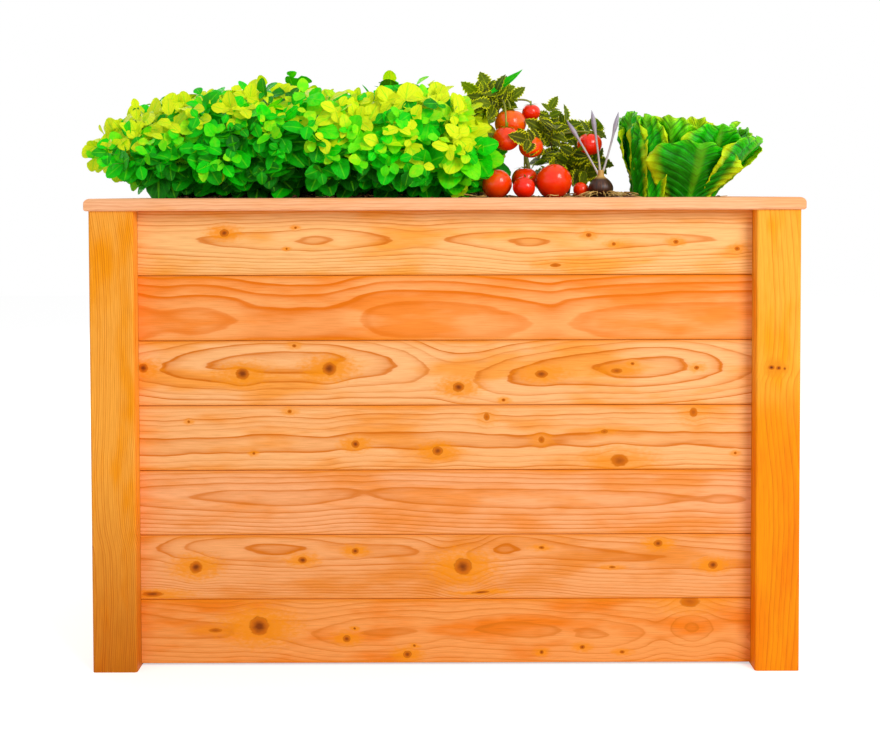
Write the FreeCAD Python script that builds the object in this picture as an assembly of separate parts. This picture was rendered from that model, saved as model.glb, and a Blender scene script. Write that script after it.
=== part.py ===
"""Raised garden bed, filled and planted.

Millimetres, +Z up, front towards -Y, origin on the ground at its centre. Four square posts carry four walls
of tongued and grooved boards. Each board butts between two posts and is screwed from inside to a cleat in
each corner, and on the long walls to a stud at mid span. Four mitred rails cap the posts and walls. A wire
net closes the bottom, a membrane lines the inside, and the bed holds gravel, soil and plants: a row of herb
bushes, a tomato plant with its fruit, a sprouting bulb and a cabbage.
"""
import FreeCAD, Part
import math
import os

Vector = FreeCAD.Vector
UP = Vector(0, 0, 1)

# ---- Frame: posts, boards and cap rails ----
BED_LENGTH = 1194.0  # over the posts, left to right
BED_DEPTH = 594.0  # over the posts, front to back
POST_SIZE = 75.0
POST_EDGE_RADIUS = 4.0
BOARD_COURSES = 7
BOARD_COVER = 111.0  # height that one board adds to the wall
BOARD_THICK = 19.0
BOARD_EDGE_CHAMFER = 1.2
BOARD_END_GAP = 0.4  # between a board's end and the post
SHADOW_GAP = 1.0  # open joint that shows between two courses
TONGUE_THICK = 6.0
TONGUE_HEIGHT = 8.0
TONGUE_TIP_CHAMFER = 1.0
TONGUE_CLEARANCE = 0.3  # each side of the tongue
TONGUE_END_CLEARANCE = 1.5
FLOOR_GAP = 3.0  # the walls hang this far above the ground that the posts stand on
CAP_WIDTH = 95.0
CAP_THICK = 21.0
CAP_OVERHANG = 6.0  # beyond the posts' outer faces
CAP_TOP_RADIUS = 9.0
CAP_BOTTOM_RADIUS = 4.0
CAP_INNER_RADIUS = 3.0
MITRE_GAP = 0.5  # open line between two mitred rails

# ---- Battens inside the walls ----
CLEAT_WIDTH = 34.0
STUD_WIDTH = 45.0

# ---- Countersunk screws: wall boards, cleats to posts, cap rails ----
SCREW_SHANK = 4.0
SCREW_HEAD = 8.0
SCREW_HEAD_HEIGHT = 3.0
SCREW_TIP = 4.0
SCREW_SOCKET = 3.2  # across the flats of the six-sided socket
SCREW_SOCKET_DEPTH = 1.8
SCREW_HOLE_CLEARANCE = 0.1
HEAD_SINK = 0.3  # heads lie this far below the wood
BOARD_SCREW_COVER = 7.0  # wood left in front of a board screw's tip
POST_SCREW_BITE = 36.0  # a cleat screw's length in the post
POST_SCREW_COURSES = (1, 3, 5)  # the seams at whose height the cleats are screwed to the posts
POST_SCREW_STAGGER = 24.0  # the end walls' cleat screws lie this much higher
CAP_SCREW_BITE = 39.0
CAP_SCREW_NEAR = 26.0  # a cap screw's two distances from the post's outer corner
CAP_SCREW_FAR = 52.0

# ---- Net, membrane and fill ----
NET_THICK = 1.2
NET_WIRE = 1.6
NET_GAPS_LONG = 24
NET_GAPS_DEEP = 12
STAPLE_WIRE = 1.0
STAPLE_CROWN = 12.0
STAPLE_LENGTH = 14.0
STAPLE_HOLE_CLEARANCE = 0.1
LINER_THICK = 1.5
LINER_TOP_DROP = 3.0  # below the cap rails
TACK_HEAD = 7.0
TACK_HEAD_THICK = 1.0
TACK_SHANK = 2.4
TACK_LENGTH = 16.0
TACK_HOLE_CLEARANCE = 0.1
TACK_DROP = 8.0  # the tacks' line below the cap rails
TACK_SIDE_STEP = 8.0  # beside the middle of the batten, clear of the cap screw
GRAVEL_HEIGHT = 100.0
SOIL_CLEARANCE = 0.3
SOIL_EDGE_DROP = 13.0  # the soil meets the membrane this far below the cap rails
SOIL_SHOULDER = 34.0  # width of the sloped border
SOIL_CROWN_DROP = 1.0  # level middle below the rim's top
SEAT_CLEARANCE = 0.3  # between a plant and what it stands on

# ---- Herb bushes: the row fills the bed from the left end up to the tomato plant ----
BUSH_COUNT = 4
BUSH_GAP = 1.0
BUSH_BASE_MARGIN = 12.0  # foot of the row, inside the cap rails
BUSH_OVERHANG = 3.0  # belly of the row, inside the rails' outer edge
BUSH_DEEP_OVERHANG = 42.0  # the same at the front and back
BUSH_BELLY_HEIGHT = 52.0
BUSH_SHOULDER_HEIGHT = 118.0
BUSH_SHOULDER_INSET = 8.0
BUSH_HEIGHTS = (182.0, 195.0, 184.0, 186.0)
BUSH_CROWN_SHARE = 0.87  # height at which the sides turn over to the top
BUSH_CROWN_INSET = 16.0
BUSH_TOP_INSET = 34.0
BUSH_BASE_INSET = 16.0
BUSH_SIDES = 12
BUSH_SQUARENESS = 0.45  # exponent of the outlines' rounded rectangle

# ---- Tomato plant; depths are measured behind the front edge of the soil's level crown ----
TOMATO_WIDTH = 232.0  # share of the row that it takes
STEM_RADIUS = 4.5
TRUSS_RADIUS = 1.8
STEM_SET_IN = 90.0  # from the left edge of its place
STEM_BEHIND = 116.0
STEM_STRAIGHT = 14.0  # upright length at its foot
STEM_BEND = (-16.0, 4.0, 104.0)  # from the stem's foot
STEM_TOP = (-58.0, -14.0, 184.0)
CROWN_WIDTH = 92.0
CROWN_DEPTH = 118.0
CROWN_HEIGHT = 52.0
LEAF_MOUND_WIDTH = 122.0
LEAF_MOUND_DEPTH = 186.0
LEAF_MOUND_HEIGHT = 188.0
LEAF_MOUND_BEHIND = 226.0  # its middle
LEAF_MOUND_LEAN = -26.0  # its top lies this far along X from its foot
FRUIT_FLATTEN = 0.9  # height over width
FRUIT_STALK = 12.0  # upright length over each hanging fruit
# Fruit that lies on the soil: (from the left edge of the tomato's place, behind the crown's edge, radius)
LYING_FRUIT = (
    (25.0, 24.0, 27.0),
    (72.0, 2.0, 20.0),
    (127.0, 24.0, 32.0),
    (178.0, 44.0, 15.0),
)
# Fruit on a truss: (X, Y and Z of its middle from the stem's foot, radius, where on the stem: 1 bend, 2 top)
HANGING_FRUIT = (
    (-38.0, -36.0, 136.0, 27.0, 2),
    (-48.0, -84.0, 106.0, 22.0, 2),
    (-2.0, -64.0, 92.0, 20.0, 1),
    (2.0, -10.0, 158.0, 17.0, 2),
    (-12.0, -42.0, 34.0, 24.0, 1),
    (108.0, -34.0, 98.0, 23.0, 1),
)

# ---- Sprouting bulb ----
BULB_RADIUS = 22.0
BULB_HEIGHT = 40.0
BULB_NECK_RADIUS = 6.0
BULB_NECK = 6.0  # height over the bulb
BULB_SET_IN = 21.0  # from the right edge of the tomato's place
BULB_BEHIND = 26.0
SHOOT_RADIUS = 2.2
SHOOT_BUD_RADIUS = 4.4
SHOOT_TIP_RADIUS = 0.6
SHOOT_ROOT = 4.0  # length hidden in the bulb
SHOOT_LEAN = (-26.0, -9.0, 9.0)  # degrees, towards +X
SHOOT_LENGTHS = (122.0, 124.0, 122.0)

# ---- Cabbage ----
CABBAGE_RADIUS = 124.0
CABBAGE_FOOT_RADIUS = 60.0
CABBAGE_HEIGHT = 146.0
CABBAGE_GAP = 2.0  # from the tomato's place
CABBAGE_LEAN = 12.0  # towards the right at its full height
CABBAGE_FALL = 0.12  # slope of the top towards the right
CABBAGE_HEART_DEPTH = 14.0
CABBAGE_SIDES = 14

# ---- Worked out from the sizes above ----
wall_height = BOARD_COURSES * BOARD_COVER
post_height = FLOOR_GAP + wall_height
rim_height = post_height + CAP_THICK
board_out = (POST_SIZE - BOARD_THICK) / 2  # from the posts' outer face to the boards' outer face
board_in = board_out + BOARD_THICK
batten_depth = POST_SIZE - board_in
inner_length = BED_LENGTH - 2 * POST_SIZE
inner_depth = BED_DEPTH - 2 * POST_SIZE
cap_reach = CAP_WIDTH - CAP_OVERHANG  # from the posts' outer face to the rails' inner edge
soil_level = rim_height - SOIL_CROWN_DROP
plant_level = soil_level + SEAT_CLEARANCE
soil_half_length = inner_length / 2 - LINER_THICK - SOIL_CLEARANCE
soil_half_depth = inner_depth / 2 - LINER_THICK - SOIL_CLEARANCE
crown_half_length = soil_half_length - SOIL_SHOULDER
crown_half_depth = soil_half_depth - SOIL_SHOULDER

# Each wall, built with its outer face towards -Y: name, turn about Z, posts' span, outer face's distance
WALLS = (
    ("front", 0, BED_LENGTH, BED_DEPTH / 2),
    ("right", 90, BED_DEPTH, BED_LENGTH / 2),
    ("back", 180, BED_LENGTH, BED_DEPTH / 2),
    ("left", 270, BED_DEPTH, BED_LENGTH / 2),
)
CORNERS = (
    ("front", "left", -1, -1),
    ("front", "right", 1, -1),
    ("back", "left", -1, 1),
    ("back", "right", 1, 1),
)

nodes = {}


def box(x, y, z):
    """Box between the limits (low, high) on each axis."""
    shape = Part.makeBox(x[1] - x[0], y[1] - y[0], z[1] - z[0])
    shape.translate(Vector(x[0], y[0], z[0]))
    return shape


def turned(shape, degrees):
    """The shape turned about the bed's upright axis."""
    placed = shape.copy()
    placed.rotate(Vector(0, 0, 0), UP, degrees)
    return placed


def swept(points, path):
    """Prism of a flat outline moved along a vector."""
    outline = Part.makePolygon(points + [points[0]])
    return Part.Face(outline).extrude(path)


def screw(length, shrink=0.0):
    """Countersunk screw along -Z with its head's top at the origin; shrink below zero gives its hole."""
    shank = SCREW_SHANK / 2 - shrink
    head = SCREW_HEAD / 2 - shrink
    tip = length - shrink
    points = [
        Vector(0, 0, 0),
        Vector(head, 0, 0),
        Vector(shank, 0, -SCREW_HEAD_HEIGHT),
        Vector(shank, 0, -(tip - SCREW_TIP)),
        Vector(0, 0, -tip),
    ]
    body = Part.Face(Part.makePolygon(points + [points[0]])).revolve(Vector(0, 0, 0), UP, 360)
    return Part.Solid(body) if body.ShapeType == "Shell" else body


def fitted_screw(length):
    """A screw with its six-sided driving socket."""
    corner = SCREW_SOCKET / math.sqrt(3)
    ring = [
        Vector(corner * math.cos(math.radians(60 * k)), corner * math.sin(math.radians(60 * k)), 0)
        for k in range(6)
    ]
    return screw(length).cut(swept(ring, Vector(0, 0, -SCREW_SOCKET_DEPTH)))


def screw_hole(length):
    """Clearance hole for a screw, open above its sunk head."""
    hole = screw(length, -SCREW_HOLE_CLEARANCE)
    mouth = Part.makeCylinder(SCREW_HEAD / 2 + SCREW_HOLE_CLEARANCE, HEAD_SINK + 1)
    return hole.fuse(mouth)


def aim(shape, head, direction):
    """Places a screw or hole: its head at a point, its tip along a direction."""
    placed = shape.copy()
    turn = FreeCAD.Rotation(Vector(0, 0, -1), direction)
    placed.Placement = FreeCAD.Placement(head + direction * HEAD_SINK, turn)
    return placed


def board_outline(top_course):
    """Cross-section of a wall board: points (depth from the outer face, height over the course's foot)."""
    tongue = ((BOARD_THICK - TONGUE_THICK) / 2, (BOARD_THICK + TONGUE_THICK) / 2)
    groove = (tongue[0] - TONGUE_CLEARANCE, tongue[1] + TONGUE_CLEARANCE)
    groove_top = TONGUE_HEIGHT + TONGUE_END_CLEARANCE
    tip = BOARD_COVER + TONGUE_HEIGHT
    edge = BOARD_EDGE_CHAMFER
    top = [
        (tongue[0], BOARD_COVER),
        (tongue[0], tip - TONGUE_TIP_CHAMFER),
        (tongue[0] + TONGUE_TIP_CHAMFER, tip),
        (tongue[1] - TONGUE_TIP_CHAMFER, tip),
        (tongue[1], tip - TONGUE_TIP_CHAMFER),
        (tongue[1], BOARD_COVER),
    ]
    return (
        [(0, SHADOW_GAP + edge), (0, BOARD_COVER - edge), (edge, BOARD_COVER)]
        + ([] if top_course else top)
        + [(BOARD_THICK - edge, BOARD_COVER), (BOARD_THICK, BOARD_COVER - edge)]
        + [(BOARD_THICK, edge), (BOARD_THICK - edge, 0), (groove[1], 0), (groove[1], groove_top)]
        + [(groove[0], groove_top), (groove[0], SHADOW_GAP), (edge, SHADOW_GAP)]
    )


def build_posts():
    """Square posts with eased upright edges, drilled for the cleat screws and cap screws."""
    for ends, side, sx, sy in CORNERS:
        post = box((0, POST_SIZE), (0, POST_SIZE), (0, post_height))
        upright = [e for e in post.Edges if abs(e.Length - post_height) < 1e-6]
        post = post.makeFillet(POST_EDGE_RADIUS, upright)
        post.translate(
            Vector(
                -BED_LENGTH / 2 if sx < 0 else BED_LENGTH / 2 - POST_SIZE,
                -BED_DEPTH / 2 if sy < 0 else BED_DEPTH / 2 - POST_SIZE,
                0,
            )
        )
        nodes["post_%s_%s" % (ends, side)] = post


def batten_places(span):
    """The battens of a wall: (low X, high X, side of the post it is screwed to, or 0 for a stud)."""
    clear = span / 2 - POST_SIZE
    places = [(-clear, -clear + CLEAT_WIDTH, -1), (clear - CLEAT_WIDTH, clear, 1)]
    if span == BED_LENGTH:
        places.append((-STUD_WIDTH / 2, STUD_WIDTH / 2, 0))
    return places


def wall_parts(name, turn, span, outer):
    """Boards, battens and screws of one wall, and the holes that its screws need."""
    face = -outer
    half_board = span / 2 - POST_SIZE - BOARD_END_GAP
    inside = face + POST_SIZE
    board_screw = batten_depth + BOARD_THICK - BOARD_SCREW_COVER
    post_screw = CLEAT_WIDTH + POST_SCREW_BITE
    stagger = POST_SCREW_STAGGER if span == BED_DEPTH else 0
    boards = []
    for course in range(BOARD_COURSES):
        foot = FLOOR_GAP + course * BOARD_COVER
        outline = board_outline(course == BOARD_COURSES - 1)
        section = [Vector(-half_board, face + board_out + y, foot + z) for y, z in outline]
        boards.append(swept(section, Vector(2 * half_board, 0, 0)))
    battens = []
    board_screws = []
    post_screws = []
    post_holes = []
    for low, high, side in batten_places(span):
        batten = box((low, high), (face + board_in, inside), (FLOOR_GAP, post_height))
        for course in range(BOARD_COURSES):
            height = FLOOR_GAP + (course + 0.5) * BOARD_COVER
            head = Vector((low + high) / 2, inside, height)
            hole = aim(screw_hole(board_screw), head, Vector(0, -1, 0))
            batten = batten.cut(hole)
            boards[course] = boards[course].cut(hole)
            board_screws.append(aim(fitted_screw(board_screw), head, Vector(0, -1, 0)))
        for seam in POST_SCREW_COURSES if side else ():
            height = FLOOR_GAP + seam * BOARD_COVER + stagger
            head = Vector(low if side > 0 else high, inside - batten_depth / 2, height)
            way = Vector(side, 0, 0)
            hole = aim(screw_hole(post_screw), head, way)
            batten = batten.cut(hole)
            post_holes.append(hole)
            post_screws.append(aim(fitted_screw(post_screw), head, way))
        battens.append((side, batten))
    return {
        "boards": [turned(b, turn) for b in boards],
        "battens": [(side, turned(b, turn)) for side, b in battens],
        "board_screws": [turned(s, turn) for s in board_screws],
        "post_screws": [turned(s, turn) for s in post_screws],
        "post_holes": [turned(h, turn) for h in post_holes],
    }


def cap_outline():
    """Cross-section of a cap rail from its outer edge (0) inwards, as a wire in the YZ plane."""
    bottom, top = post_height, rim_height
    big, small, inner = CAP_TOP_RADIUS, CAP_BOTTOM_RADIUS, CAP_INNER_RADIUS
    slant = math.sqrt(0.5)

    def point(y, z):
        return Vector(0, y, z)

    def arc(start, middle, end):
        return Part.Arc(point(*start), point(*middle), point(*end)).toShape()

    def line(start, end):
        return Part.LineSegment(point(*start), point(*end)).toShape()

    width = CAP_WIDTH
    return Part.Wire(
        [
            arc((small, bottom), (small * (1 - slant), bottom + small * (1 - slant)), (0, bottom + small)),
            line((0, bottom + small), (0, top - big)),
            arc((0, top - big), (big * (1 - slant), top - big * (1 - slant)), (big, top)),
            line((big, top), (width - inner, top)),
            arc(
                (width - inner, top),
                (width - inner * (1 - slant), top - inner * (1 - slant)),
                (width, top - inner),
            ),
            line((width, top - inner), (width, bottom)),
            line((width, bottom), (small, bottom)),
        ]
    )


def cap_screw_places(span, outer):
    """Heads of one rail's screws: one into each post, and one into the stud of a long wall."""
    x = span / 2 - CAP_SCREW_FAR
    y = -outer + CAP_SCREW_NEAR
    places = [Vector(-x, y, rim_height), Vector(x, y, rim_height)]
    if span == BED_LENGTH:
        places.append(Vector(0, -outer + board_in + batten_depth / 2, rim_height))
    return places


def build_caps():
    """Rails mitred at the corners, with their screws. Returns the holes that the screws need."""
    length = CAP_THICK + CAP_SCREW_BITE
    screws = []
    holes = []
    for name, turn, span, outer in WALLS:
        reach = span / 2 + CAP_OVERHANG
        edge = -outer - CAP_OVERHANG
        rail = Part.Face(cap_outline()).extrude(Vector(2 * reach, 0, 0))
        rail.translate(Vector(-reach, edge, 0))
        cut = MITRE_GAP / 2 * math.sqrt(2)
        plan = [
            Vector(-reach + cut, edge, post_height - 1),
            Vector(reach - cut, edge, post_height - 1),
            Vector(reach - cut - CAP_WIDTH, edge + CAP_WIDTH, post_height - 1),
            Vector(-reach + cut + CAP_WIDTH, edge + CAP_WIDTH, post_height - 1),
        ]
        rail = rail.common(swept(plan, Vector(0, 0, CAP_THICK + 2)))
        for head in cap_screw_places(span, outer):
            hole = aim(screw_hole(length), head, Vector(0, 0, -1))
            rail = rail.cut(hole)
            holes.append(turned(hole, turn))
            screws.append(turned(aim(fitted_screw(length), head, Vector(0, 0, -1)), turn))
        nodes["cap_" + name] = turned(rail, turn)
    nodes["cap_screws"] = Part.makeCompound(screws)
    return holes


def drilled(piece, holes):
    """The piece with those of the holes that reach it."""
    near = [h for h in holes if h.BoundBox.intersect(piece.BoundBox)]
    return piece.cut(near) if near else piece


def build_frame():
    """Posts, walls and cap rails, with every screw and its hole."""
    build_posts()
    cap_holes = build_caps()
    post_holes = list(cap_holes)
    board_screws = []
    post_screws = []
    corner_cleats = {}
    for name, turn, span, outer in WALLS:
        wall = wall_parts(name, turn, span, outer)
        for course, board in enumerate(wall["boards"]):
            nodes["%s_board_%d" % (name, course + 1)] = board
        for side, batten in wall["battens"]:
            if side == 0:
                nodes["%s_stud" % name] = drilled(batten, cap_holes)
                continue
            middle = batten.BoundBox.Center
            corner = "%s_%s" % ("front" if middle.y < 0 else "back", "left" if middle.x < 0 else "right")
            corner_cleats.setdefault(corner, []).append(batten)
        board_screws += wall["board_screws"]
        post_screws += wall["post_screws"]
        post_holes += wall["post_holes"]
    for corner, cleats in corner_cleats.items():
        nodes["cleats_" + corner] = Part.makeCompound(cleats)
    for ends, side, sx, sy in CORNERS:
        key = "post_%s_%s" % (ends, side)
        nodes[key] = drilled(nodes[key], post_holes)
    nodes["board_screws"] = Part.makeCompound(board_screws)
    nodes["cleat_screws"] = Part.makeCompound(post_screws)


def every_batten():
    """Each batten as (wall's turn, its limits along and across the wall, the wall's half span)."""
    for name, turn, span, outer in WALLS:
        for low, high, side in batten_places(span):
            yield turn, (low, high), (-outer + board_in, -outer + POST_SIZE)


def hollow(z, inset=0.0, battens=True):
    """Space inside the boards, round the posts and battens, at a distance from them all."""
    half_x = BED_LENGTH / 2 - board_in - inset
    half_y = BED_DEPTH / 2 - board_in - inset
    space = box((-half_x, half_x), (-half_y, half_y), z)
    tall = (z[0] - 1, z[1] + 1)
    solids = []
    for ends, side, sx, sy in CORNERS:
        x = sorted((sx * (inner_length / 2 - inset), sx * BED_LENGTH / 2))
        y = sorted((sy * (inner_depth / 2 - inset), sy * BED_DEPTH / 2))
        solids.append(box(x, y, tall))
    for turn, x, y in every_batten() if battens else ():
        grown = box((x[0] - inset, x[1] + inset), (y[0] - inset, y[1] + inset), tall)
        solids.append(turned(grown, turn))
    return space.cut(solids).removeSplitter()


def pierce(key, tools):
    """Cuts the tools out of each solid of a node."""
    solids = [drilled(solid, tools) for solid in nodes[key].Solids]
    nodes[key] = solids[0] if len(solids) == 1 else Part.makeCompound(solids)


def batten_keys():
    """Names of the nodes that hold battens."""
    return [key for key in nodes if key.startswith("cleats_") or key.endswith("_stud")]


def staple(clearance=0.0):
    """Staple pushed up from under the net: its crown lies along X just below the origin."""
    wire = STAPLE_WIRE / 2 + clearance
    reach = STAPLE_CROWN / 2 - STAPLE_WIRE / 2
    crown = box((-reach - wire, reach + wire), (-wire, wire), (-STAPLE_WIRE, 0))
    legs = [
        box((x - wire, x + wire), (-wire, wire), (-STAPLE_WIRE / 2, STAPLE_LENGTH + clearance))
        for x in (-reach, reach)
    ]
    return crown.fuse(legs).removeSplitter()


def build_net():
    """Net under the battens and the fill: one sheet with square gaps and a plain hem, held by staples."""
    low = FLOOR_GAP - NET_THICK
    sheet = hollow((low, FLOOR_GAP), battens=False)
    outline = next(f for f in sheet.Faces if f.normalAt(0, 0).z < -0.9).OuterWire
    pitch_x = inner_length / NET_GAPS_LONG
    pitch_y = inner_depth / NET_GAPS_DEEP
    gaps = []
    for i in range(NET_GAPS_LONG):
        for j in range(NET_GAPS_DEEP):
            x = -inner_length / 2 + i * pitch_x + NET_WIRE / 2
            y = -inner_depth / 2 + j * pitch_y + NET_WIRE / 2
            corners = [
                Vector(x, y, low),
                Vector(x + pitch_x - NET_WIRE, y, low),
                Vector(x + pitch_x - NET_WIRE, y + pitch_y - NET_WIRE, low),
                Vector(x, y + pitch_y - NET_WIRE, low),
            ]
            gaps.append(Part.makePolygon(corners + [corners[0]]))
    holed = Part.Face([outline] + gaps)
    holed.validate()
    staples = []
    holes = []
    for turn, x, y in every_batten():
        place = Vector(sum(x) / 2, sum(y) / 2, low)
        for shape, made in ((staple(), staples), (staple(STAPLE_HOLE_CLEARANCE), holes)):
            shape.translate(place)
            made.append(turned(shape, turn))
    nodes["rodent_net"] = holed.extrude(Vector(0, 0, NET_THICK)).cut(holes)
    nodes["net_staples"] = Part.makeCompound(staples)
    for key in batten_keys():
        pierce(key, holes)


def tack(clearance=0.0):
    """Flat-headed tack along -Z with the underside of its head at the origin."""
    head = Part.makeCylinder(TACK_HEAD / 2, TACK_HEAD_THICK)
    length = TACK_LENGTH + 2 * clearance
    shank = Part.makeCone(clearance, TACK_SHANK / 2 + clearance, length, Vector(0, 0, -length))
    return shank if clearance else head.fuse(shank)


def build_liner():
    """Membrane round the inside of the boards, posts and battens, tacked near its top edge to each batten."""
    height = (FLOOR_GAP, post_height - LINER_TOP_DROP)
    inside = hollow((height[0] - 1, height[1] + 1), LINER_THICK)
    tacks = []
    holes = []
    for turn, x, y in every_batten():
        head = Vector(sum(x) / 2 + TACK_SIDE_STEP, y[1] + LINER_THICK, post_height - TACK_DROP)
        for shape, made in ((tack(), tacks), (tack(TACK_HOLE_CLEARANCE), holes)):
            shape.Placement = FreeCAD.Placement(head, FreeCAD.Rotation(UP, Vector(0, 1, 0)))
            made.append(turned(shape, turn))
    nodes["liner"] = hollow(height).cut([inside] + holes)
    nodes["liner_tacks"] = Part.makeCompound(tacks)
    for key in batten_keys():
        pierce(key, holes)


def rectangle(half_x, half_y, height):
    """Level rectangular wire about the bed's axis."""
    corners = [
        Vector(-half_x, -half_y, height),
        Vector(half_x, -half_y, height),
        Vector(half_x, half_y, height),
        Vector(-half_x, half_y, height),
    ]
    return Part.makePolygon(corners + [corners[0]])


def build_fill():
    """Gravel on the net, and soil above it with a sloped border and a level crown."""
    inset = LINER_THICK + SOIL_CLEARANCE
    top_of_gravel = FLOOR_GAP + GRAVEL_HEIGHT
    edge = post_height - SOIL_EDGE_DROP
    nodes["gravel"] = hollow((FLOOR_GAP, top_of_gravel), inset)
    foot = rectangle(soil_half_length - TACK_HEAD_THICK, soil_half_depth - TACK_HEAD_THICK, edge)
    crown = Part.makeLoft([foot, rectangle(crown_half_length, crown_half_depth, soil_level)], True, True)
    nodes["soil"] = hollow((top_of_gravel, edge), inset).fuse(crown).removeSplitter()


def ring(centre, half_x, half_y, height, sides, power=1.0, fall=0.0):
    """Closed outline of straight sides: an ellipse, or with a power under 1 a rounded rectangle.

    It is level, or falls towards +X by that share of the distance.
    """
    points = []
    for k in range(sides):
        angle = 2 * math.pi * (k + 0.5) / sides
        c, s = math.cos(angle), math.sin(angle)
        x = half_x * math.copysign(abs(c) ** power, c)
        y = half_y * math.copysign(abs(s) ** power, s)
        points.append(Vector(centre[0] + x, centre[1] + y, height - fall * x))
    return Part.makePolygon(points + [points[0]])


def mound(rings):
    """Closed solid through outlines, one after the other."""
    return Part.makeLoft(rings, True, True)


def planting():
    """Limits along X of the herb row and the tomato plant, and the middle of the cabbage."""
    cabbage = crown_half_length - CABBAGE_FOOT_RADIUS
    tomato_end = cabbage - CABBAGE_RADIUS - CABBAGE_GAP
    tomato = (tomato_end - TOMATO_WIDTH, tomato_end)
    herbs = (-BED_LENGTH / 2 + cap_reach + BUSH_BASE_MARGIN, tomato[0] - BUSH_GAP)
    return herbs, tomato, cabbage


def build_herbs(limits):
    """A row of bushes with narrow feet on the soil and bellies that reach over the cap rails."""
    pitch = (limits[1] - limits[0]) / BUSH_COUNT
    foot_deep = BED_DEPTH / 2 - cap_reach - BUSH_BASE_MARGIN
    belly_deep = BED_DEPTH / 2 + CAP_OVERHANG - BUSH_DEEP_OVERHANG
    left_reach = -BED_LENGTH / 2 - CAP_OVERHANG + BUSH_OVERHANG
    for number in range(BUSH_COUNT):
        low = limits[0] + number * pitch + (BUSH_GAP if number else 0)
        high = limits[0] + (number + 1) * pitch
        belly_low = low if number else left_reach
        height = BUSH_HEIGHTS[number % len(BUSH_HEIGHTS)]
        crown = ((low + belly_low) / 2, (foot_deep + belly_deep) / 2)
        rings = []
        for z, inset, start, deep in (
            (0, BUSH_BASE_INSET, low, foot_deep),
            (BUSH_BELLY_HEIGHT, 0, belly_low, belly_deep),
            (BUSH_SHOULDER_HEIGHT, BUSH_SHOULDER_INSET, belly_low, belly_deep),
            (height * BUSH_CROWN_SHARE, BUSH_CROWN_INSET, *crown),
            (height, BUSH_TOP_INSET, low, foot_deep),
        ):
            centre = ((start + high) / 2, 0)
            half_x = (high - start) / 2 - inset
            outline = ring(centre, half_x, deep - inset, plant_level + z, BUSH_SIDES, BUSH_SQUARENESS)
            rings.append(outline)
        nodes["herb_bush_%d" % (number + 1)] = mound(rings)


def fruit(centre, radius):
    """Oblate tomato about a point."""
    ball = Part.makeSphere(radius)
    squash = FreeCAD.Matrix()
    squash.scale(1, 1, FRUIT_FLATTEN)
    ball = ball.transformGeometry(squash)
    ball.translate(centre)
    return ball


def tube(start, end, radius):
    """Straight round stem between two points."""
    way = end - start
    return Part.makeCylinder(radius, way.Length, start, way)


def build_tomato(limits):
    """Stem with trusses of fruit and a leafy crown on its top, a mound of leaves behind, and fallen fruit."""
    front = -crown_half_depth
    foot = Vector(limits[0] + STEM_SET_IN, front + STEM_BEHIND, plant_level)
    branches = [foot + UP * STEM_STRAIGHT, foot + Vector(*STEM_BEND), foot + Vector(*STEM_TOP)]
    parts = [tube(foot, branches[0], STEM_RADIUS)]
    parts += [tube(start, end, STEM_RADIUS) for start, end in zip(branches, branches[1:])]
    parts += [Part.makeSphere(STEM_RADIUS, branch) for branch in branches]
    fruits = []
    for x, behind, radius in LYING_FRUIT:
        height = plant_level + radius * FRUIT_FLATTEN
        fruits.append(fruit(Vector(limits[0] + x, front + behind, height), radius))
    for x, y, z, radius, branch in HANGING_FRUIT:
        centre = foot + Vector(x, y, z)
        fruits.append(fruit(centre, radius))
        stalk = centre + UP * (radius * FRUIT_FLATTEN + SEAT_CLEARANCE)
        elbow = stalk + UP * FRUIT_STALK
        parts += [tube(stalk, elbow, TRUSS_RADIUS), Part.makeSphere(TRUSS_RADIUS, elbow)]
        parts.append(tube(elbow, branches[branch], TRUSS_RADIUS))
    crown_foot = branches[2].z + STEM_RADIUS + SEAT_CLEARANCE
    crown_middle = (branches[2].x, branches[2].y)
    crown = mound(
        [
            ring(crown_middle, width * CROWN_WIDTH, width * CROWN_DEPTH, crown_foot + CROWN_HEIGHT * z, 10)
            for z, width in ((0, 0.28), (0.4, 0.5), (1, 0.3))
        ]
    )
    foot_x = limits[1] - LEAF_MOUND_WIDTH / 2
    leaves = mound(
        [
            ring(
                (foot_x + LEAF_MOUND_LEAN * z, front + LEAF_MOUND_BEHIND),
                width * LEAF_MOUND_WIDTH,
                width * LEAF_MOUND_DEPTH,
                plant_level + LEAF_MOUND_HEIGHT * z,
                12,
            )
            for z, width in ((0, 0.35), (0.35, 0.5), (0.7, 0.42), (1, 0.15))
        ]
    )
    stem = parts[0].fuse(parts[1:])
    nodes["tomato_stem"] = stem.removeSplitter()
    nodes["tomato_foliage"] = Part.makeCompound([crown, leaves])
    nodes["tomatoes"] = Part.makeCompound(fruits)


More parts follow.
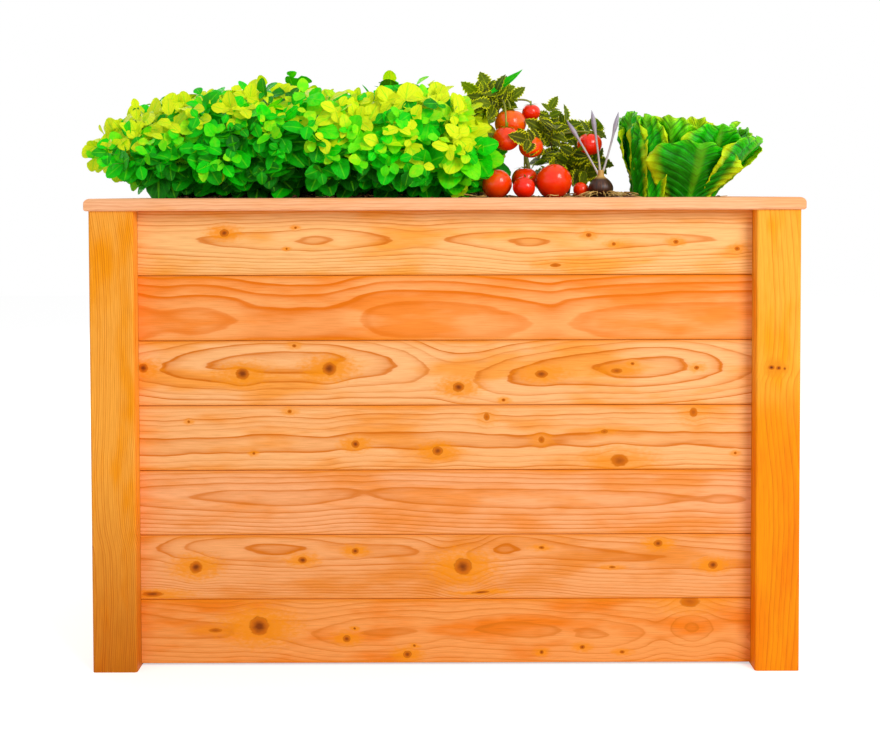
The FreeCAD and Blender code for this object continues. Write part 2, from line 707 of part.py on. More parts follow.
def build_bulb(limits):
    """Round bulb on the soil, with a short neck and three shoots that end in pointed buds."""
    neck = BULB_HEIGHT + BULB_NECK
    shares = [(0, 0), (0.6, 0.04), (0.94, 0.26), (0.98, 0.5), (0.8, 0.78), (0.45, 0.95)]
    outline = [(BULB_RADIUS * r, BULB_HEIGHT * z) for r, z in shares]
    outline += [(BULB_NECK_RADIUS, BULB_HEIGHT), (BULB_NECK_RADIUS, neck), (0, neck)]
    points = [Vector(r, 0, z) for r, z in outline]
    bulb = Part.Face(Part.makePolygon(points + [points[0]])).revolve(Vector(0, 0, 0), UP, 360)
    bulb = Part.Solid(bulb) if bulb.ShapeType == "Shell" else bulb
    shoots = []
    for lean, length in zip(SHOOT_LEAN, SHOOT_LENGTHS):
        stalk_end = length * 0.7
        bud_widest = length * 0.84
        shoot = Part.makeCylinder(SHOOT_RADIUS, stalk_end)
        swell = Part.makeCone(SHOOT_RADIUS, SHOOT_BUD_RADIUS, bud_widest - stalk_end, Vector(0, 0, stalk_end))
        point = Part.makeCone(
            SHOOT_BUD_RADIUS, SHOOT_TIP_RADIUS, length - bud_widest, Vector(0, 0, bud_widest)
        )
        shoot = shoot.fuse([swell, point])
        shoot.rotate(Vector(0, 0, 0), Vector(0, 1, 0), lean)
        shoot.translate(Vector(0, 0, neck - SHOOT_ROOT))
        shoots.append(shoot)
    bulb = bulb.fuse(shoots)
    bulb.translate(Vector(limits[1] - BULB_SET_IN, BULB_BEHIND - crown_half_depth, plant_level))
    nodes["sprouting_bulb"] = bulb


def build_cabbage(middle):
    """Head that flares from its foot to the rims of its outer leaves, its heart sunk between them."""
    foot, full = CABBAGE_FOOT_RADIUS, CABBAGE_RADIUS
    flare = foot + (full - foot) * 0.6
    rings = []
    for radius, share, fall in (
        (foot, 0, 0),
        (flare, 0.36, 0),
        (full, 0.7, CABBAGE_FALL / 2),
        (full * 0.84, 0.88, CABBAGE_FALL),
        (full * 0.6, 0.94, CABBAGE_FALL),
        (full * 0.28, 0.94 - CABBAGE_HEART_DEPTH / CABBAGE_HEIGHT, CABBAGE_FALL),
    ):
        centre = (middle + CABBAGE_LEAN * share, CABBAGE_FOOT_RADIUS - crown_half_depth)
        height = plant_level + CABBAGE_HEIGHT * share
        rings.append(ring(centre, radius, radius, height, CABBAGE_SIDES, fall=fall))
    nodes["cabbage"] = mound(rings)


def main():
    """Builds every piece and writes one file for each named sub-part."""
    build_frame()
    build_net()
    build_liner()
    build_fill()
    herbs, tomato, cabbage = planting()
    build_herbs(herbs)
    build_tomato(tomato)
    build_bulb(tomato)
    build_cabbage(cabbage)
    os.makedirs("parts", exist_ok=True)
    for name, shape in sorted(nodes.items()):
        for solid in shape.Solids:
            assert solid.isValid() and solid.Volume > 0, name
        shape.exportStep(os.path.join("parts", name + ".step"))
        print("%-22s %3d solids %12.0f mm3" % (name, len(shape.Solids), shape.Volume))
    print(len(nodes), "sub-parts")


main()
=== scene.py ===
"""The raised garden bed as it is put together: timber first, then net, lining and fill, then the plants."""
import math

import bmesh
import bpy
import numpy as np
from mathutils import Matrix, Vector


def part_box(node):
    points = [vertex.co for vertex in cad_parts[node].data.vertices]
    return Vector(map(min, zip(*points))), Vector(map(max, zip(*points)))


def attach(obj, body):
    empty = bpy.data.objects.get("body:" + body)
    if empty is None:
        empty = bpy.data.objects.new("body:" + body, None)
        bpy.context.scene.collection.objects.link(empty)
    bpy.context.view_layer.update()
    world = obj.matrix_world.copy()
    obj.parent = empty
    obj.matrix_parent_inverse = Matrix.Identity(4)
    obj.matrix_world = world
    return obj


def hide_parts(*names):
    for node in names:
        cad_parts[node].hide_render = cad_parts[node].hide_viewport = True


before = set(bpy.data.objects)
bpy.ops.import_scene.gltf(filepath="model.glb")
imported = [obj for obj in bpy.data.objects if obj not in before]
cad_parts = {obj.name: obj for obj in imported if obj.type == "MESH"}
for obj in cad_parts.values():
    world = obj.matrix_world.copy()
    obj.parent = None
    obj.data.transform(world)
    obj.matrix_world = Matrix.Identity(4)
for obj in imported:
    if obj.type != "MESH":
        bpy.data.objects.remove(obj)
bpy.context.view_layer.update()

# ---------------------------------------------------------------- where it stands
# A pale studio floor that runs into a white background, a large soft light from the upper right and the
# open sky of the studio. The camera stands at the height of the rim, square to the front. It looks down a
# little, and the rest of the way its frame is moved down, so the posts stay all but parallel.


def tone(red, green, blue):
    """Linear colour of a screen colour in 0..255: c/12.92 below 0.04045, else ((c + 0.055)/1.055)^2.4."""
    shares = np.array([red, green, blue]) / 255.0
    linear = np.where(shares <= 0.04045, shares / 12.92, ((shares + 0.055) / 1.055) ** 2.4)
    return (*linear.tolist(), 1.0)


class Output:
    """A node's output to reckon with: each operator puts a Math node behind it."""

    def __init__(self, socket):
        self.socket = socket
        self.tree = socket.id_data

    def __add__(self, other):
        return calc(self, "ADD", other)

    def __sub__(self, other):
        return calc(self, "SUBTRACT", other)

    def __mul__(self, other):
        return calc(self, "MULTIPLY", other)

    def __truediv__(self, other):
        return calc(self, "DIVIDE", other)

    def __abs__(self):
        return calc(self, "ABSOLUTE")


def put(tree, kind, settings=None, out=0, **inputs):
    """Adds a node and gives the output that out names, or all of them where it is None.

    Inputs go by name, or by place as i0, i1; each is a value or another node's output.
    """
    made = tree.nodes.new("ShaderNode" + kind)
    for name, value in (settings or {}).items():
        setattr(made, name, value)
    for name, value in inputs.items():
        by_place = name[0] == "i" and name[1:].isdigit()
        socket = made.inputs[int(name[1:])] if by_place else made.inputs[name.replace("_", " ")]
        if isinstance(value, Output):
            tree.links.new(value.socket, socket)
        else:
            socket.default_value = value
    return [Output(socket) for socket in made.outputs] if out is None else Output(made.outputs[out])


def calc(first, operation, second=0.0):
    """Output of a Math node."""
    return put(first.tree, "Math", {"operation": operation}, i0=first, i1=second)


def finish_of(name):
    """A new material, its emptied node tree, and the place on the piece."""
    material = bpy.data.materials.new(name)
    material.use_nodes = True
    tree = material.node_tree
    tree.nodes.clear()
    return material, tree, put(tree, "TexCoord", out="Object")


def show(material, surface):
    """The material with that surface."""
    put(surface.tree, "OutputMaterial", out=None, Surface=surface)
    return material


def ray(tree, kind):
    """1 where light of that kind asks, such as the camera's own."""
    return put(tree, "LightPath", out="Is %s Ray" % kind)


def backdrop_finish():
    """White to the camera, so that it joins the background, and pale grey to the light; it keeps shadows."""
    material, tree, _ = finish_of("studio_floor")
    seen = calc(ray(tree, "Camera"), "MAXIMUM", ray(tree, "Glossy"))
    lit = put(tree, "BsdfDiffuse", Color=(0.8, 0.8, 0.8, 1.0))
    lift = put(tree, "Emission", Color=(1.0, 1.0, 1.0, 1.0), Strength=seen * 0.5)
    return show(material, put(tree, "AddShader", i0=lit, i1=lift))


FLOOR_HALF = 7.0
corners = [(x * FLOOR_HALF, y * FLOOR_HALF, 0) for x, y in ((-1, -1), (1, -1), (1, 1), (-1, 1))]
floor_mesh = bpy.data.meshes.new("studio_floor")
floor_mesh.from_pydata(corners, [], [(0, 1, 2, 3)])
floor = bpy.data.objects.new("studio_floor", floor_mesh)
bpy.context.collection.objects.link(floor)
floor_mesh.materials.append(backdrop_finish())

world = bpy.data.worlds.new("studio")
bpy.context.scene.world = world
world.use_nodes = True
sky = world.node_tree
sky.nodes.clear()
AMBIENT = 0.60
direct = calc(calc(ray(sky, "Camera"), "MAXIMUM", ray(sky, "Transmission")), "MAXIMUM", ray(sky, "Glossy"))
light = put(sky, "Background", Color=(1.0, 1.0, 1.0, 1.0), Strength=direct * (1.0 - AMBIENT) + AMBIENT)
put(sky, "OutputWorld", out=None, Surface=light)


def soft_lamp(name, place, aim, size, power):
    """Square area lamp that faces a point."""
    data = bpy.data.lights.new(name, "AREA")
    data.shape = "SQUARE"
    data.size = size
    data.energy = power
    lamp = bpy.data.objects.new(name, data)
    bpy.context.collection.objects.link(lamp)
    away = np.array(place) - np.array(aim)
    flat = math.hypot(away[0], away[1])
    lamp.location = place
    lamp.rotation_euler = (math.atan2(flat, away[2]), 0.0, math.atan2(away[0], -away[1]))
    return lamp


soft_lamp("key", (2.1, -3.0, 2.3), (0.0, 0.0, 0.5), 1.6, 88.0)
soft_lamp("back_fill", (-2.4, 3.0, 2.6), (0.0, 0.0, 0.5), 2.4, 70.0)

PHOTO_WIDTH = 880  # pixels
PHOTO_HEIGHT = 750
HORIZON_ROW = 193.6
BED_MIDDLE_COLUMN = 444.8
EYE_HEIGHT = 0.808
EYE_DISTANCE = 1.93  # from the posts' front faces
WIDTH_IN_VIEW = 1.4710  # at the posts' front faces
PICTURE_TURN = math.radians(0.15)
LOOK_DOWN = math.radians(1.6)
camera_data = bpy.data.cameras.new("camera")
camera_data.sensor_width = 36.0
camera_data.lens = 36.0 * EYE_DISTANCE / WIDTH_IN_VIEW
camera_data.shift_x = (PHOTO_WIDTH / 2 - BED_MIDDLE_COLUMN) / PHOTO_WIDTH
horizon_by_tilt = math.tan(LOOK_DOWN) * EYE_DISTANCE / WIDTH_IN_VIEW
camera_data.shift_y = (HORIZON_ROW - PHOTO_HEIGHT / 2) / PHOTO_WIDTH + horizon_by_tilt
camera = bpy.data.objects.new("camera", camera_data)
bpy.context.collection.objects.link(camera)
camera.location = (0.0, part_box("post_front_left")[0][1] - EYE_DISTANCE, EYE_HEIGHT)
camera.rotation_euler = (math.radians(90.0) - LOOK_DOWN, PICTURE_TURN, 0.0)
bpy.context.scene.camera = camera
bpy.context.scene.view_settings.view_transform = "Standard"

# ---------------------------------------------------------------- the timber's grain
# Planed pine. The saw cuts a log lengthwise, so a face shows the yearly rings as long flames where it lies
# flat to them and as straight lines where it stands upright to them. Branches leave knots, and the grain
# runs round them. The same node groups serve boards, posts, rails and battens.


def fade(value, start, end, first=0.0, last=1.0):
    """Smooth step from first at start to last at end."""
    smooth = {"interpolation_type": "SMOOTHSTEP"}
    return put(value.tree, "MapRange", smooth, i0=value, i1=start, i2=end, i3=first, i4=last)


def make_knot_group():
    """A knot at (Along, Across): distance d = |offset / (Radius * Stretch, Radius)| + 0.35 Rough.

    Across' = Across - 0.7 * offset * exp(-0.16 d^2), so straight grain opens round it. Core rises from 0 at
    d = 1.4 to 1 at the middle, Halo from 0 at d = 3.6, longer along the grain. The larger value is kept.
    """
    group = bpy.data.node_groups.new("knot", "ShaderNodeTree")
    own = ("Along", "Across", "Radius", "Stretch", "Dark", "Rough")
    for names, way in ((("Grain", "Core", "Halo", *own), "INPUT"), (("Grain", "Core", "Halo"), "OUTPUT")):
        for name in names:
            kind = "NodeSocketVector" if name == "Grain" else "NodeSocketFloat"
            group.interface.new_socket(name, in_out=way, socket_type=kind)
    given = [Output(socket) for socket in group.nodes.new("NodeGroupInput").outputs]
    grain, core, halo, knot_along, knot_across, radius, stretch, dark, rough = given[:9]
    x, y, z = put(group, "SeparateXYZ", out=None, i0=grain)
    across = y - knot_across
    ratio_along = (x - knot_along) / (radius * stretch)
    ratio_across = across / radius
    squares = ratio_across * ratio_across + ratio_along * ratio_along
    bent = y + across * calc(squares * -0.16, "EXPONENT") * -0.7
    inner = rough * 0.35 + calc(squares, "SQRT")
    outer = rough * 2.6 + calc(ratio_across * ratio_across + ratio_along * ratio_along * 0.3, "SQRT")
    core = calc(fade(inner, 1.4, 0.0) * dark, "MAXIMUM", core)
    halo = calc(fade(outer, 3.6, 0.9) * dark, "MAXIMUM", halo)
    warped = put(group, "CombineXYZ", i0=x, i1=bent, i2=z)
    for value, socket in zip((warped, core, halo), group.nodes.new("NodeGroupOutput").inputs):
        group.links.new(value.socket, socket)
    return group


KNOT = make_knot_group()


def ramp(factor, stops):
    """Colour ramp; a stop is a place and a colour, or a place and a screen colour's red, green and blue."""
    made = put(factor.tree, "ValToRGB", i0=factor)
    points = made.socket.node.color_ramp.elements
    while len(points) < len(stops):
        points.new(1.0)
    for point, (place, *colour) in zip(points, stops):
        point.position = place
        point.color = tone(*colour) if len(colour) == 3 else colour[0]
    return made


def mix(factor, first, second, how="MIX"):
    """Mixed colour; at least one of the three is an output."""
    tree = next(value.tree for value in (factor, first, second) if isinstance(value, Output))
    return put(tree, "Mix", {"data_type": "RGBA", "blend_type": how}, 2, i0=factor, i6=first, i7=second)


def noise(place, scale, detail, settings=None, **more):
    """Noise; a scale of three numbers stretches the place by them."""
    if isinstance(scale, tuple):
        place = put(place.tree, "VectorMath", {"operation": "MULTIPLY"}, i0=place, i1=scale)
        scale = 1.0
    return put(place.tree, "TexNoise", settings, Vector=place, Scale=scale, Detail=detail, **more)


def carried(tree):
    """What a piece's points carry: the vector (across, along, lot) and the tint."""
    parts = (("leaf", "Vector"), ("tint", "Fac"))
    return [put(tree, "Attribute", {"attribute_name": name}, out) for name, out in parts]


def principled(colour, roughness, relief=None, **more):
    """Principled surface; relief is a bump's strength, depth in metres and height."""
    if relief:
        strength, depth, height = relief
        more["Normal"] = put(colour.tree, "Bump", Strength=strength, Distance=depth, Height=height)
    return put(colour.tree, "BsdfPrincipled", Base_Color=colour, Roughness=roughness, **more)


def drawn_curve(place, points, low, high):
    """Smooth curve through given (place, value) points, values between low and high."""
    made = put(place.tree, "FloatCurve", Value=place)
    mapping = made.socket.node.mapping
    line = mapping.curves[0].points
    while len(line) < len(points):
        line.new(0.5, 0.5)
    for point, (x, value) in zip(line, points):
        point.location = (min(max(x, 0.0), 1.0), (value - low) / (high - low))
    mapping.update()
    return made * (high - low) + low


def rings_of(ordered, bent, spec):
    """Age of the wood at a point, in years: ((depth^2 + ((across - heart) / pitch)^2)^0.5)^power.

    Depth and heart are curves along the piece. A flame's tip lies where the depth passes a whole year, and
    outside the flame the years crowd together as the power says.
    """
    place = ordered[0] * (1.0 / spec["length"]) + 0.5
    heart = drawn_curve(place, spec["heart"], -0.1, 0.1)
    depth = bent[2] * (1000.0 / spec["pitch"]) + drawn_curve(place, spec["depth"], 0.0, 24.0)
    wander = spec["wander"] / 1000
    flat = put(place.tree, "CombineXYZ", i0=ordered[0] * 9.0, i1=spec["seed"])
    sway = noise(flat, 1.0, 2.0, {"noise_dimensions": "2D"})
    side = (sway * (2 * wander) + bent[1] - heart - wander) * (1000.0 / spec["pitch"])
    return calc(side * side + depth * depth, "POWER", 0.5 * spec["power"])

KNOT_WOOD = [
    (0.02, 150, 68, 0), (0.12, 214, 116, 4), (0.4, 204, 104, 6), (0.7, 172, 84, 4),
]


def timber(name, axes, middle, spec):
    """Pine finish whose grain runs along the first of three axes (along, across, through), about a middle.

    Each year goes from pale wood to a dark line. Golden patches, fibres, knots, a painted shade along the
    board edges and a darker foot follow.
    """
    material, tree, place = finish_of(name)
    moved = put(tree, "VectorMath", {"operation": "SUBTRACT"}, i0=place, i1=middle)
    parts = put(tree, "SeparateXYZ", out=None, i0=moved)
    ordered = [parts["XYZ".index(axis)] for axis in axes]
    grain = plain_grain = put(tree, "CombineXYZ", i0=ordered[0], i1=ordered[1], i2=ordered[2])
    core, halo = 0.0, 0.0
    rough = noise(grain, (110.0, 210.0, 210.0), 3.0) * 1.4 - 0.7
    for along, across, radius, stretch, dark in spec["knots"]:
        grain, core, halo = put(
            tree, "Group", {"node_tree": KNOT}, None, Grain=grain, Core=core, Halo=halo, Along=along / 1000,
            Across=across / 1000, Radius=radius / 1000, Stretch=stretch, Dark=dark, Rough=rough,
        )
    fine = noise(grain, (7.0, 60.0, 60.0), 2.0)
    rings = fine * 0.5 + rings_of(ordered, put(tree, "SeparateXYZ", out=None, i0=grain), spec) - 0.31
    own = put(tree, "TexWhiteNoise", {"noise_dimensions": "1D"}, W=calc(rings, "FLOOR") + spec["seed"])
    greys = ((0.0, 0.18), (0.10, 0.0), (0.5, 0.08), (0.80, 0.45), (0.91, 1.0), (0.97, 0.9), (1.0, 0.18))
    line = ramp(
        calc(calc(rings, "FRACT"), "POWER", spec["band"]),
        [(at, (grey, grey, grey, 1.0)) for at, grey in greys],
    )
    patch = noise(plain_grain, (6.0, 24.0, 24.0), 3.0, {"noise_dimensions": "4D"}, W=spec["seed"])
    force = own * 0.75 + (patch * 0.8 - 0.1)
    line_share = calc(line * force * spec["line"], "MINIMUM", 1.0)
    fibre = noise(grain, (24.0, 800.0, 800.0), 2.0)
    fibres = ((0.28, (0.86, 0.80, 0.70, 1)), (0.5, (0.98, 0.97, 0.95, 1)), (0.72, (1.06, 1.08, 1.12, 1)))
    colour = mix(fade(patch, 0.44, 0.66, 0.0, spec["golden"]), spec["pale"], spec["warm"])
    colour = mix(1.0, colour, ramp(fibre, fibres), "MULTIPLY")
    colour = mix(line_share, colour, spec["late"])
    # Painted shade: a board turns a darker orange towards its top and bottom edges, where the seams and the
    # cap shade it.
    if "edge" in spec:
        colour = mix(fade(abs(ordered[1]), 0.047, 0.0555, 0.0, 0.6), colour, spec["edge"])
    if spec["knots"]:
        wood = ramp(fine * 0.5 + (core - 0.25), [*KNOT_WOOD, (0.95, spec["knot"])])
        colour = mix(halo * 0.85, colour, spec["halo"])
        colour = mix(fade(core, 0.02, 0.16), colour, wood)
    # Below the height that foot gives, the colour is multiplied by the foot's shade, so the piece turns
    # darker towards its foot.
    if "foot" in spec:
        low, high, shade = spec["foot"]
        towards_foot = fade(patch * 0.2 + ordered[0], high, low)
        colour = mix(towards_foot, colour, mix(1.0, colour, shade, "MULTIPLY"))
    relief = (0.35, 0.0006, line_share * -0.6 + fibre * 0.5)
    return show(material, principled(colour, fibre * 0.22 + 0.40, relief, Specular_IOR_Level=0.12))


def box(node):
    """Lowest and highest corner of a node's box, as arrays."""
    return np.array(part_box(node))


def dress(node, material):
    """Gives a CAD node's every slot one material."""
    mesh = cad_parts[node].data
    mesh.materials.clear()
    mesh.materials.append(material)


# ---------------------------------------------------------------- wall boards
# Softwood cladding, tongued and grooved, seven courses high, oiled. Each is butted between two posts and
# screwed from inside. The front boards' flames and knots lie where the photograph has them, by its columns
# and rows; the other boards are drawn by lot.
BOARD_LENGTH_IN_PHOTO = (138.7, 750.9)  # columns of a front board's ends
BOARD_TOP_ROW = 209.8  # of the uppermost board
BOARD_ROWS = 65.2  # that each board covers
BOARD_COVER = 0.111
MM_A_PIXEL = 1.7035  # on the boards' faces
# The edge colour is a painted shade along the seams between the boards.
BOARD_WOOD = {
    "late": tone(214, 112, 12), "halo": tone(244, 144, 6), "knot": tone(134, 58, 0),
    "edge": tone(236, 134, 12), "line": 1.0, "band": 1.0, "golden": 0.9, "wander": 2.0, "power": 1.6,
    "knots": (),
}
# Heart: column and row. Depth: column and years. Knots: column, row, radius in mm, stretch and strength.
FRONT_BOARDS = {
    7: {
        "seed": 3.1, "pitch": 15.0, "pale": tone(255, 194, 124), "warm": tone(251, 164, 58),
        "heart": (
            (139, 238), (225, 240), (315, 239), (392, 239), (449, 239), (530, 242), (640, 240), (751, 238),
        ),
        "depth": (
            (139, 1.75), (190, 1.6), (250, 1.25), (299, 1.0), (315, 0.88), (331, 1.0), (360, 1.28),
            (392, 1.54), (420, 1.75), (449, 1.54), (490, 1.2), (513, 1.0), (530, 0.88), (547, 1.0),
            (600, 1.25), (680, 1.45), (751, 1.7),
        ),
        "knots": (
            (225, 232, 5.5, 1.2, 1.0), (588, 235, 3.4, 1.2, 0.8), (613, 244, 2.8, 1.2, 0.8),
            (675, 242, 3.4, 1.2, 0.8), (736, 249, 3.4, 1.2, 0.8), (296, 227, 1.8, 1.2, 0.9),
            (287, 248, 1.7, 1.0, 1.0), (555, 265, 3.2, 3.0, 0.5),
        ),
    },
    6: {
        "seed": 8.7, "pitch": 34.0, "pale": tone(255, 170, 98), "warm": tone(251, 140, 46), "line": 1.25,
        "late": tone(230, 114, 4), "band": 0.5,
        "heart": (
            (139, 322), (232, 321), (307, 324), (362, 319), (450, 320), (528, 324), (571, 323), (650, 322),
            (751, 321),
        ),
        "depth": (
            (139, 0.5), (160, 0.8), (200, 0.72), (232, 1.0), (250, 1.2), (280, 1.3), (307, 1.3), (335, 1.28),
            (350, 1.15), (362, 1.0), (385, 0.6), (450, 0.45), (500, 0.75), (528, 1.0), (550, 1.2), (571, 1.0),
            (620, 0.6), (751, 0.3),
        ),
    },
    5: {
        "seed": 14.3, "pitch": 24.0, "pale": tone(255, 188, 124), "warm": tone(251, 158, 58),
        "heart": (
            (139, 366), (162, 366), (212, 364), (300, 362), (400, 366), (473, 379), (508, 377), (596, 369),
            (722, 366), (751, 366),
        ),
        "depth": (
            (139, 1.8), (162, 1.54), (212, 1.0), (260, 0.7), (310, 0.75), (350, 1.1), (400, 1.6), (440, 2.1),
            (473, 1.99), (508, 1.54), (560, 1.2), (596, 1.0), (650, 0.7), (700, 1.2), (722, 1.54), (751, 1.9),
        ),
        "knots": (
            (143, 367, 6.5, 1.1, 1.0), (242, 373, 8.5, 1.2, 0.95), (329, 368, 9.5, 1.1, 1.0),
            (458, 387, 7.0, 1.2, 1.0), (541, 374, 6.0, 1.6, 0.85), (616, 371, 4.0, 2.2, 0.7),
            (632, 364, 2.6, 1.2, 0.8), (696, 368, 3.2, 1.2, 0.8), (294, 345, 2.6, 1.3, 0.8),
            (503, 400, 2.4, 1.2, 0.9),
        ),
    },
    4: {
        "seed": 21.9, "pitch": 20.0, "pale": tone(254, 184, 118), "warm": tone(248, 154, 60), "wander": 4.0,
        "heart": (
            (139, 446), (213, 445), (260, 443), (320, 444), (350, 441), (445, 440), (520, 442), (604, 440),
            (751, 440),
        ),
        "depth": (
            (139, 0.65), (213, 0.75), (260, 0.6), (320, 0.78), (400, 0.7), (480, 0.8), (540, 0.9),
            (604, 0.75), (700, 0.8), (751, 0.7),
        ),
        "knots": (
            (354.6, 444, 5.5, 1.1, 1.0), (437, 451, 6.5, 1.2, 0.95), (486, 417, 6.0, 0.8, 0.55),
            (541, 440, 5.5, 0.9, 0.6), (604, 432, 3.2, 1.6, 0.6), (619, 461, 10.0, 1.4, 0.6),
            (693, 413, 8.0, 0.8, 0.55), (735, 454, 2.2, 1.0, 0.8), (188, 421, 2.2, 1.0, 0.8),
            (289, 411, 2.8, 1.2, 0.8), (253, 453, 2.2, 1.0, 0.9),
        ),
    },
    3: {
        "seed": 27.4, "pitch": 19.0, "pale": tone(252, 176, 118), "warm": tone(246, 148, 66),
        "heart": (
            (139, 497), (197, 497), (280, 498), (362, 495), (450, 498), (560, 500), (698, 500), (751, 501),
        ),
        "depth": (
            (139, 1.3), (170, 1.12), (197, 1.0), (240, 0.78), (300, 0.75), (345, 0.9), (364, 0.99),
            (385, 0.85), (450, 0.6), (560, 0.55), (640, 0.75), (698, 1.0), (722, 0.9), (751, 1.05),
        ),
    },
    2: {
        "seed": 33.8, "pitch": 17.0, "pale": tone(248, 170, 106), "warm": tone(236, 140, 50),
        "heart": (
            (139, 549), (208, 549), (270, 550), (354, 552), (415, 553), (462, 560), (505, 550), (600, 556),
            (751, 562),
        ),
        "depth": (
            (139, 2.1), (157, 1.99), (184, 1.54), (208, 1.2), (240, 1.0), (270, 0.85), (300, 1.0), (340, 1.3),
            (380, 1.4), (415, 1.54), (440, 1.8), (475, 1.4), (495, 1.0), (505, 0.9), (515, 1.0), (560, 1.3),
            (640, 1.5), (751, 1.8),
        ),
        "knots": (
            (194, 568, 9.0, 1.05, 1.0), (301, 561, 5.0, 1.3, 0.95), (354, 552, 4.4, 1.2, 1.0),
            (462, 568, 12.5, 1.05, 1.0), (658, 545, 5.0, 1.3, 1.0), (713, 567, 5.8, 1.2, 1.0),
            (541, 549, 2.4, 1.8, 0.9), (612, 569, 2.0, 2.6, 0.8), (480, 593, 2.2, 6.0, 0.95),
            (150, 595, 4.0, 4.0, 0.9),
        ),
    },
    1: {
        "seed": 40.2, "pitch": 20.0, "pale": tone(249, 162, 86), "warm": tone(242, 128, 24), "golden": 1.0,
        "heart": (
            (139, 627), (213, 632), (257, 630), (314, 636), (380, 634), (445, 632), (520, 632), (565, 635),
            (640, 636), (692, 630), (751, 638),
        ),
        "depth": (
            (139, 1.7), (180, 1.8), (213, 1.9), (257, 2.0), (290, 1.75), (314, 1.54), (340, 1.2), (380, 0.95),
            (420, 1.05), (445, 1.3), (480, 1.0), (520, 0.75), (550, 0.88), (565, 1.0), (590, 0.9), (640, 1.5),
            (660, 1.8), (680, 1.2), (692, 0.9), (704, 1.2), (720, 1.7), (751, 1.5),
        ),
        "knots": (
            (257, 628, 14.0, 1.05, 1.0), (345, 641, 5.2, 1.1, 0.95), (406, 657, 5.2, 1.2, 1.0),
            (690, 604, 9.0, 1.7, 0.55), (541, 655, 3.2, 1.0, 0.95), (582, 650, 3.4, 1.2, 0.9),
            (353, 631, 2.0, 1.0, 1.0), (413, 649, 2.2, 1.0, 1.0), (622, 655, 2.6, 1.6, 0.8),
            (213, 632, 3.6, 3.0, 0.6),
        ),
    },
}


def from_photo(course, spec):
    """The spec with places 0..1 along the board for columns, and lengths up from its middle for rows."""
    first, last = BOARD_LENGTH_IN_PHOTO
    middle_column = (first + last) / 2
    middle_row = BOARD_TOP_ROW + (7.5 - course) * BOARD_ROWS
    place = lambda column: (column - first) / (last - first)
    up = lambda row: (middle_row - row) * MM_A_PIXEL
    knots = [((c - middle_column) * MM_A_PIXEL, up(row), *rest) for c, row, *rest in spec.get("knots", ())]
    heart = [(place(column), up(row) / 1000) for column, row in spec["heart"]]
    return {
        **spec, "heart": heart, "depth": [(place(c), years) for c, years in spec["depth"]], "knots": knots,
    }


def drawn_board(lot, half_length):
    """A board by lot: the run of its heart, the depths that make its flames, and up to six knots."""
    places = np.linspace(0, 1, 9)
    heart = lot.uniform(-0.025, 0.025) + lot.normal(0, 0.004, 9)
    depth = np.clip(lot.uniform(0.6, 1.6) + np.cumsum(lot.normal(0, 0.35, 9)), 0.4, 2.6)
    knots = [
        (lot.uniform(-half_length, half_length), lot.uniform(-45, 45), lot.choice([2.5, 4.0, 5.5, 8.0, 11.0]),
         lot.uniform(1.0, 1.5), lot.uniform(0.7, 1.0))
        for _ in range(lot.integers(0, 7))
    ]
    red = lot.uniform(0, 12)
    return {
        "seed": lot.uniform(50, 900), "pitch": lot.uniform(15, 28), "golden": lot.uniform(0.5, 1.0),
        "knots": knots, "heart": list(zip(places, heart)), "depth": list(zip(places, depth)),
        "pale": tone(254 - red, 182 - red, 114 - red), "warm": tone(249 - red, 150 - red, 54),
    }


lot = np.random.default_rng(711)
for wall, axes in (("front", "XZY"), ("right", "YZX"), ("back", "XZY"), ("left", "YZX")):
    for course in range(1, 8):
        node = "%s_board_%d" % (wall, course)
        low, high = box(node)
        length = float(max(high[0] - low[0], high[1] - low[1]))
        drawn = drawn_board(lot, 500 * length)
        own = from_photo(course, FRONT_BOARDS[course]) if wall == "front" else drawn
        outer = {"front": (0, low[1]), "back": (0, high[1]), "left": (low[0], 0), "right": (high[0], 0)}[wall]
        middle = (outer[0], outer[1], low[2] + BOARD_COVER / 2)
        dress(node, timber(node, axes, middle, {**BOARD_WOOD, "length": length, **own}))

# ---------------------------------------------------------------- corner posts
# Four planed 75 mm posts with eased edges, a deeper orange than the boards. Their close, nearly straight
# lines sway a little, and each turns darker towards its foot.
POST_WOOD = {
    "pale": tone(254, 172, 62), "warm": tone(252, 156, 6), "late": tone(208, 108, 4),
    "halo": tone(230, 140, 20), "knot": tone(104, 40, 0), "line": 0.9, "band": 1.0, "golden": 1.0,
    "wander": 3.0, "power": 1.0, "pitch": 3.3, "knots": (), "length": 0.78,
    "depth": ((0, 5.0), (0.5, 6.0), (1, 5.5)),
}
POSTS = {
    "post_front_left": {
        "seed": 4.4,
        "heart": ((0, -0.050), (0.25, -0.046), (0.33, -0.056), (0.6, -0.052), (0.85, -0.050), (1, -0.062)),
        "foot": (-0.34, 0.12, tone(206, 176, 90)),
    },
    "post_front_right": {
        "seed": 9.6, "pitch": 7.0,
        "heart": ((0, 0.058), (0.4, 0.064), (0.62, 0.050), (0.66, 0.060), (1, 0.056)),
        "pale": tone(255, 176, 56), "warm": tone(253, 160, 14), "line": 0.6,
        "foot": (0.10, 0.24, tone(250, 216, 36)),
        "knots": ((125, -12, 5.0, 0.7, 1.0), (124, -3, 4.6, 0.7, 1.0), (123, 7, 3.0, 0.7, 1.0)),
    },
    "post_back_left": {
        "seed": 15.2, "heart": ((0, 0.048), (0.5, 0.054), (1, 0.046)),
        "foot": (-0.39, -0.03, tone(220, 200, 160)),
    },
    "post_back_right": {
        "seed": 23.8, "heart": ((0, -0.060), (0.5, -0.052), (1, -0.058)),
        "foot": (-0.39, -0.06, tone(224, 204, 164)),
    },
}
for node, own in POSTS.items():
    low, high = box(node)
    middle = ((low[0] + high[0]) / 2, low[1] if "front" in node else high[1], high[2] / 2)
    dress(node, timber(node, "ZXY", middle, {**POST_WOOD, **own}))

